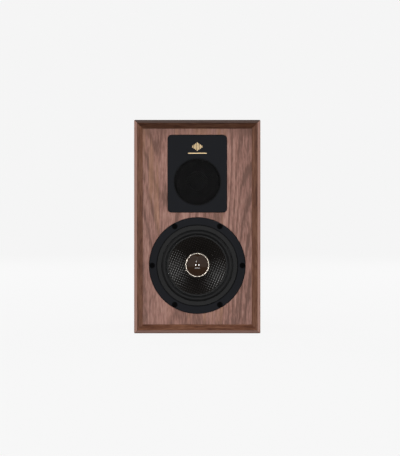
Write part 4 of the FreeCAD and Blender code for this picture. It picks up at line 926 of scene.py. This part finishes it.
RING_OUTER = ring_reach("woofer_cap_ring", WOOFER)
RING_INNER = 17.7 * MM
RING_CREST = front_depth("woofer_cap_ring")
RING_FOOT = back_depth("woofer_cap_ring")
ring_half = (RING_OUTER - RING_INNER) / 2
ring_middle = (RING_OUTER + RING_INNER) / 2
ring_outline = [
    (RING_INNER, RING_FOOT),
    (RING_OUTER, RING_FOOT - 2 * ring_half * SLOPE),
    (RING_OUTER, RING_CREST + 0.80 * ring_half),
    (RING_OUTER - 0.30 * ring_half, RING_CREST + 0.36 * ring_half),
    (ring_middle + 0.14 * ring_half, RING_CREST),
    (ring_middle - 0.14 * ring_half, RING_CREST),
    (RING_INNER + 0.30 * ring_half, RING_CREST + 0.36 * ring_half),
    (RING_INNER, RING_CREST + 0.80 * ring_half),
]
ring = turned("woofer_cap_bezel", ring_outline, WOOFER)
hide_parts("woofer_cap_ring")
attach(ring, "woofer_moving")
dress("rose_chrome", ring)
print("cap", len(cap.data.vertices), "ring", len(ring.data.vertices))

# %% [markdown]
# The spider is a disc of stiffened cotton pressed into waves. It is turned like the surround, from a
# smooth sine instead of straight folds.

# %% The spider
SPIDER_INNER = 18.5 * MM
SPIDER_LAND = 38.0 * MM
SPIDER_OUTER = ring_reach("woofer_spider", WOOFER)
SPIDER_MID = (front_depth("woofer_spider") + back_depth("woofer_spider")) / 2
SPIDER_WAVE = 1.1 * MM
SPIDER_HALF = 0.25 * MM
SPIDER_TURNS = 6
SPIDER_POINTS = 72


def spider_line(side):
    points = [(NECK, SPIDER_MID + side * SPIDER_HALF)]
    for i in range(SPIDER_POINTS + 1):
        share = i / SPIDER_POINTS
        wave = SPIDER_WAVE * math.sin(2 * math.pi * SPIDER_TURNS * share)
        radius = SPIDER_INNER + (SPIDER_LAND - SPIDER_INNER) * share
        points.append((radius, SPIDER_MID - wave + side * SPIDER_HALF))
    points.append((SPIDER_OUTER, SPIDER_MID + side * SPIDER_HALF))
    return points


spider = turned("woofer_spider_cloth", spider_line(-1) + spider_line(1)[::-1], WOOFER, steps=96)
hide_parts("woofer_spider")
cotton = Finish("stiff_cotton", Roughness=0.9)
COTTON_THREAD = 0.7 * MM
cotton_weave = cotton.threads(COTTON_THREAD)
cotton.feed("Base Color", cotton.mix(cotton_weave, (0.24, 0.13, 0.045), (0.50, 0.33, 0.14)))
cotton.bump(cotton_weave, 0.0001, 0.8)
dress("stiff_cotton", spider)
flexing(spider, WOOFER)
print("spider points", len(spider.data.vertices))

# %% [markdown]
# Two braided leads bridge from the tags to the cone. A lead is a smooth curve with a round bevel, made
# into a mesh, and its finish is braided copper with a fine noise in the bump. One end is soldered to a tag
# that stays and the other moves with the cone.

# %% The tinsel leads
TINSEL_RADIUS = 0.55 * MM
TINSEL_RUN = 22.5 * MM
TINSEL_BEND = 2.5 * MM
TINSEL_ROUND = 0.3 * MM
tinsel_low, tinsel_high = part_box("woofer_tinsel_leads")


def tinsel_lead(side):
    x = side * (tinsel_high.x - TINSEL_RADIUS)
    run_y = BAFFLE + TINSEL_RUN
    top_z = tinsel_high.z - TINSEL_RADIUS
    foot_z = tinsel_low.z + TINSEL_RADIUS
    route = [
        (x, tinsel_low.y + 0.5 * MM, top_z),
        (x, run_y - TINSEL_ROUND, top_z),
        (x, run_y, top_z - TINSEL_BEND),
        (x, run_y, (top_z + foot_z) / 2),
        (x, run_y, foot_z + TINSEL_BEND),
        (x, run_y + TINSEL_ROUND, foot_z),
        (x, tinsel_high.y, foot_z),
    ]
    clear_selection()
    bpy.ops.curve.primitive_nurbs_path_add()
    lead_curve = bpy.context.object
    lead_curve.name = "woofer_tinsel_" + ("right" if side > 0 else "left")
    spline = lead_curve.data.splines[0]
    spline.points.add(len(route) - len(spline.points))
    for point, at in zip(spline.points, route):
        point.co = (*at, 1)
    spline.use_endpoint_u = True
    spline.order_u = 3
    lead_curve.data.bevel_depth = TINSEL_RADIUS
    lead_curve.data.bevel_resolution = 3
    lead_curve.data.use_fill_caps = True
    lead_curve.data.resolution_u = 12
    bpy.ops.object.convert(target="MESH")
    piece = bpy.context.object
    dress("braided_copper", piece)
    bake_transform(piece)
    return piece


leads = [tinsel_lead(side) for side in (-1, 1)]
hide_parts("woofer_tinsel_leads")
print("tinsel points", [len(piece.data.vertices) for piece in leads])

# %% [markdown]
# The tweeter's grille is woven steel wire, pressed to a shallow dome and blackened. One set of wires is
# the lines of a grid whose cross edges are deleted: each line dips and rises at every crossing. The
# lines become curves with a round bevel. The other set is a copy with the dips the other way,
# turned a quarter round. A rolled rim holds both, and its coat is duller than the wires'.

# %% The tweeter's grille
GRILLE_PITCH = 2.35 * MM
WIRE = 0.38 * MM
MESH_RISE = 4.5 * MM
GRILLE_EDGE = 37.0 * MM
MESH_FOOT = back_depth("tweeter_mesh")
MESH_TOP = front_depth("tweeter_mesh")
MESH_EDGE = ring_reach("tweeter_mesh", TWEETER)
GRILLE_TURN = math.radians(45)
WIRE_DIP = 0.95 * WIRE
WIRE_TUCK = 0.8 * MM
WIRE_ROUGHNESS = 0.26


def grille_depth(x, z):
    """Middle of the wire cloth at a place across the dome."""
    curve = (GRILLE_EDGE**2 + MESH_RISE**2) / (2 * MESH_RISE)
    return MESH_TOP + 2 * WIRE + curve - np.sqrt(curve**2 - x**2 - z**2)


half_count = int(GRILLE_EDGE / GRILLE_PITCH)
wires_across = 2 * half_count + 1
clear_selection()
bpy.ops.mesh.primitive_grid_add(
    x_subdivisions=2 * wires_across,
    y_subdivisions=wires_across - 1,
    size=2 * half_count * GRILLE_PITCH,
    location=TWEETER,
    rotation=(math.pi / 2, 0, 0),
)
wires = bpy.context.object
wires.name = "grille_wires"
wires.scale.x = (half_count + 0.5) / half_count
fix_place(wires)


def joins_rows(edge):
    first, second = (wires.data.vertices[i].co for i in edge.vertices)
    return abs(first.z - second.z) > GRILLE_PITCH / 2


def past_rim(point):
    offset = point.co - TWEETER
    return math.hypot(offset.x, offset.z) > GRILLE_EDGE + WIRE_TUCK


pick(wires, "EDGE", joins_rows)
bpy.ops.mesh.delete(type="EDGE")
pick(wires, "VERT", past_rim)
bpy.ops.mesh.delete(type="VERT")
bpy.ops.object.mode_set(mode="OBJECT")


def bend_wires(piece, side):
    """Lays the wires on the dome, with their dips and rises on that side of it."""
    place = places(piece)
    x, z = place[:, 0] - TWEETER.x, place[:, 2] - TWEETER.z
    crossing = x / GRILLE_PITCH
    row = np.round(z / GRILLE_PITCH)
    wave = np.cos(math.pi * (crossing + row)) * WIRE_DIP
    place[:, 1] = BAFFLE + grille_depth(x, z) + side * wave
    set_places(piece, place)


take(wires)
bpy.ops.object.duplicate()
cross_wires = bpy.context.object
bend_wires(wires, 1)
bend_wires(cross_wires, -1)


def turn_about(piece, angle, axis_point):
    take(piece)
    bpy.ops.transform.rotate(value=angle, orient_axis="Y", center_override=axis_point)
    fix_place(piece)


turn_about(wires, GRILLE_TURN, TWEETER)
turn_about(cross_wires, GRILLE_TURN + math.pi / 2, TWEETER)


def as_wire(piece, radius):
    """Turns the edges of a piece into round wire."""
    take(piece)
    bpy.ops.object.convert(target="CURVE")
    piece.data.bevel_depth = radius
    piece.data.bevel_resolution = 1
    piece.data.use_fill_caps = True
    bpy.ops.object.convert(target="MESH")
    bpy.ops.object.shade_smooth()
    return bpy.context.object


wires = as_wire(wires, WIRE)
cross_wires = as_wire(cross_wires, WIRE)
grille_rim = turned(
    "grille_rim",
    [
        (MESH_EDGE, MESH_FOOT),
        (MESH_EDGE, MESH_FOOT - 0.6 * MM),
        (GRILLE_EDGE + 0.9 * MM, MESH_FOOT - 0.75 * MM),
        (GRILLE_EDGE + 0.3 * MM, MESH_FOOT - 0.95 * MM),
        (GRILLE_EDGE - 0.5 * MM, MESH_FOOT - 0.8 * MM),
        (GRILLE_EDGE - 0.7 * MM, MESH_FOOT - 0.2 * MM),
        (GRILLE_EDGE - 0.2 * MM, MESH_FOOT),
    ],
    TWEETER,
)
take(grille_rim)
wires.select_set(True)
cross_wires.select_set(True)
bpy.ops.object.join()
grille = bpy.context.object
grille.name = "tweeter_grille"
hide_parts("tweeter_mesh")
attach(grille, "cabinet")
black = (0.0030, 0.0030, 0.0032)
wire_finish = grained("black_wire", black, WIRE_ROUGHNESS, 0.0008, 0.00001, specular_ior_level=0.22)
wire_x, _, wire_z = wire_finish.axes()
reach = ((wire_x - TWEETER.x).squared() + (wire_z - TWEETER.z).squared()).power(0.5)
dull_rim = reach.between(GRILLE_EDGE - 1.2 * MM, GRILLE_EDGE - 0.8 * MM)
wire_finish.feed("Roughness", dull_rim * 0.6 + WIRE_ROUGHNESS)
dress("black_wire", grille)
print("grille wires", 2 * wires_across, "faces", len(grille.data.polygons))

# %% [markdown]
# Behind the grille is a dome of doped silk with its own little half roll. The dome rides on the
# tweeter's moving body.

# %% The tweeter's dome and roll
DOME_EDGE = ring_reach("tweeter_dome", TWEETER)
DOME_TOP = front_depth("tweeter_dome")
DOME_BASE = back_depth("tweeter_dome")
DOME_WALL = 0.4 * MM
dome_outline = [
    *cap_arc(DOME_EDGE, DOME_BASE, DOME_BASE - DOME_TOP, 24),
    *reversed(cap_arc(DOME_EDGE - DOME_WALL, DOME_BASE, DOME_BASE - DOME_TOP - DOME_WALL, 20)),
]
dome = turned("tweeter_dome_silk", dome_outline, TWEETER, steps=96)
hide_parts("tweeter_dome")
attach(dome, "tweeter_moving")
silk = Finish("doped_silk", Roughness=0.5, specular_ior_level=0.08)
SILK_THREAD = 0.45 * MM
silk_weave = silk.threads(SILK_THREAD)
silk_cloud = silk.noise(silk.place(), 260, 3)
# The silk's own black is made darker still, as painted shade behind the grille.
silk.feed("Base Color", silk.mix(silk_cloud, (0.0010, 0.0010, 0.0013), (0.0022, 0.0020, 0.0024)))
silk.bump(silk_weave, 0.00004, 0.7)
dress("doped_silk", dome)

DOME_SKIN = 0.35 * MM
DOME_ROLL_OUTER = 16.8 * MM
tweeter_roll = turned(
    "tweeter_surround_roll",
    roll_outline(
        ring_reach("tweeter_surround", TWEETER),
        DOME_EDGE - 0.4 * MM,
        DOME_BASE + DOME_SKIN,
        back_depth("tweeter_surround") - DOME_BASE,
        DOME_SKIN,
        DOME_ROLL_OUTER,
        DOME_EDGE,
        front_depth("tweeter_surround"),
        count=16,
    ),
    TWEETER,
    steps=96,
)
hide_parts("tweeter_surround")
dress("doped_silk", tweeter_roll)
flexing(tweeter_roll, TWEETER)
print("dome", len(dome.data.vertices), "roll", len(tweeter_roll.data.vertices))

# %% [markdown]
# The reflex ports are mouldings with a wide trumpet at the back wall. A trumpet must be smooth, so one
# port is turned from a fine outline, and the other is a copy moved across.

# %% The ports
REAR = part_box("back_panel")[1].y
port_low, port_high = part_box("port_tubes")
PORT_FLANGE = 30.0 * MM
PORT_BORE = 17.5 * MM
PORT_WALL = 2.4 * MM
FLARE = 10.5 * MM
PORT_COLLAR = 23.5 * MM
PORT_CHAMFER = 0.5 * MM
PORT_TAPER = 12 * MM
PORT_LIP = 0.8 * MM
flange_top = port_high.y - REAR
port_axis = Vector((port_high.x - PORT_FLANGE, REAR, (port_low.z + port_high.z) / 2))
port_outline = [
    (PORT_BORE, port_low.y - REAR),
    (PORT_BORE + PORT_WALL - PORT_CHAMFER, port_low.y - REAR),
    (PORT_BORE + PORT_WALL, port_low.y - REAR + PORT_CHAMFER),
    (PORT_BORE + PORT_WALL, -PORT_TAPER),
    (PORT_COLLAR, flange_top - FLARE),
    (PORT_COLLAR, 0),
    (PORT_FLANGE, 0),
    *arc((PORT_FLANGE - PORT_LIP, flange_top - PORT_LIP), PORT_LIP, 0, 90, 6),
    *arc((PORT_BORE + FLARE, flange_top - FLARE), FLARE, 90, 180, 28),
]
port = turned("reflex_port_right", port_outline, port_axis, steps=128)
take(port)
bpy.ops.object.duplicate()
port_copy = bpy.context.object
port_copy.name = "reflex_port_left"
bpy.ops.transform.translate(value=(-2 * port_axis.x, 0, 0))
fix_place(port_copy)
for piece in (port, port_copy):
    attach(piece, "cabinet")
    dress("smooth_moulding", piece)
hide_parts("port_tubes")
print("port points", len(port.data.vertices), "axis", port_axis)

# %% [markdown]
# Polyester wadding lines the two side walls and the top behind the brace. Each slab is a box cut into
# small faces, and then every point is pushed in a little by a lumpy noise, and more near the edges,
# which rounds them. So the slab looks laid in by hand and still stays inside its space.

# %% The wadding
from mathutils import noise as lumps

WADDING_THICK = 18 * MM
WADDING_STEP = 6 * MM
WADDING_MARGIN = 6 * MM
EDGE_REACH = 9 * MM
EDGE_DROP = 3.2 * MM
LUMP = 1.9 * MM
LUMP_SCALE = 38
ON_FACE = 0.1 * MM
wad_low, wad_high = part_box("damping_wadding")
top_half = wad_high.x - WADDING_THICK - WADDING_MARGIN


def finished(piece, kind, **settings):
    """Adds a modifier to a piece and applies it."""
    take(piece)
    modifier = piece.modifiers.new("finishing", kind)
    for name, value in settings.items():
        setattr(modifier, name, value)
    bpy.ops.object.modifier_apply(modifier=modifier.name)


def wadding_slab(name, low, high):
    low, high = Vector(low), Vector(high)
    size = high - low
    clear_selection()
    bpy.ops.mesh.primitive_cube_add(size=1, location=(low + high) / 2)
    slab = bpy.context.object
    slab.name = name
    slab.scale = size
    fix_place(slab)
    bpy.ops.object.mode_set(mode="EDIT")
    for axis in range(3):
        cuts = int(size[axis] / WADDING_STEP)
        for i in range(1, cuts):
            point = low.copy()
            point[axis] += size[axis] * i / cuts
            normal = [float(k == axis) for k in range(3)]
            bpy.ops.mesh.select_all(action="SELECT")
            bpy.ops.mesh.bisect(plane_co=point, plane_no=normal)
    bpy.ops.object.mode_set(mode="OBJECT")
    centre = (low + high) / 2
    for vertex in slab.data.vertices:
        place = vertex.co.copy()
        margins = [min(place[k] - low[k], high[k] - place[k]) for k in range(3)]
        rounding = max(0.0, 1 - sorted(margins)[1] / EDGE_REACH) ** 2 * EDGE_DROP
        lump = (0.5 + 0.5 * lumps.noise(place * LUMP_SCALE)) * LUMP
        inward = centre - place
        step = [math.copysign(1, inward[k]) if margins[k] < ON_FACE else 0 for k in range(3)]
        vertex.co = place + Vector(step) * (lump + rounding)
    finished(slab, "SUBSURF", levels=1, render_levels=1)
    bpy.ops.object.shade_smooth()
    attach(slab, "cabinet")
    return slab


left_high = (wad_low.x + WADDING_THICK, wad_high.y, wad_high.z)
right_low = (wad_high.x - WADDING_THICK, wad_low.y, wad_low.z)
top_low = (-top_half, wad_low.y, wad_high.z - WADDING_THICK)
top_high = (top_half, wad_high.y, wad_high.z)
slabs = [
    wadding_slab("wadding_left", wad_low, left_high),
    wadding_slab("wadding_right", right_low, wad_high),
    wadding_slab("wadding_top", top_low, top_high),
]
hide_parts("damping_wadding")
fleece = Finish("polyester_fleece", Roughness=1.0, sheen_weight=0.3)
fibre = fleece.noise(fleece.place(), 700, 5, 0.75, 1.5)
fleece_cloud = fleece.noise(fleece.place(), 60, 3)
fluff = fibre * 0.6 + fleece_cloud * 0.4
fleece.feed("Base Color", fleece.mix(fluff, (0.55, 0.55, 0.53), (0.88, 0.88, 0.86)))
fleece.bump(fibre, 0.0010, 0.8)
dress("polyester_fleece", *slabs)
print("wadding points", [len(slab.data.vertices) for slab in slabs])

# %% [markdown]
# The terminal cup carries moulded polarity marks beside the posts. A plus is a small block whose four
# sides are extruded outwards, and a minus is a block drawn out sideways.

# %% Polarity marks
MARK = 1.4 * MM
MARK_ARM = 2.0 * MM
MARK_HEIGHT = 0.5 * MM
CUP_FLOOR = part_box("post_bushes")[0].y
upper_z = middle("post_knob_upper_plus").z
lower_z = middle("post_knob_lower_plus").z
MARK_X = 30 * MM
MARK_ROUND = 0.15 * MM


def mark(name, x, z, plus):
    clear_selection()
    bpy.ops.mesh.primitive_cube_add(size=1, location=(x, CUP_FLOOR, z))
    piece = bpy.context.object
    piece.name = name
    piece.scale = (MARK, 2 * MARK_HEIGHT, MARK)
    fix_place(piece)
    centre = (x, 0, z)
    for axis, other in ((0, 2), (2, 0)) if plus else ((0, 2),):
        for side in (-1, 1):

            def at_end(face):
                beside = abs(face.center[other] - centre[other])
                return face.normal[axis] * side > 0.9 and beside < 0.4 * MARK

            pick(piece, "FACE", at_end)
            push = [0.0, 0.0, 0.0]
            push[axis] = side * MARK_ARM
            bpy.ops.mesh.extrude_region_move(TRANSFORM_OT_translate={"value": push})
            bpy.ops.object.mode_set(mode="OBJECT")
    finished(piece, "BEVEL", width=MARK_ROUND, segments=2)
    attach(piece, "cabinet")
    return piece


post_plus_side = math.copysign(1, middle("post_knob_upper_plus").x)
marks = []
for row, z in (("upper", upper_z), ("lower", lower_z)):
    marks.append(mark(f"{row}_plus_mark", post_plus_side * MARK_X, z, True))
    marks.append(mark(f"{row}_minus_mark", -post_plus_side * MARK_X, z, False))
grained("mark_ink", (0.62, 0.62, 0.60), 0.5, 0.0006, 0.00001)
dress("mark_ink", *marks)
print("marks", [piece.name for piece in marks])

# %% [markdown]
# Last, every CAD part still shown is checked for one of the finishes made here, and those without one
# are printed.

# %% Closing
plain = [
    name
    for name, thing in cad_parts.items()
    if not thing.hide_render and thing.data.materials[0] not in Finish.made.values()
]
print("nodes without a finish", plain)
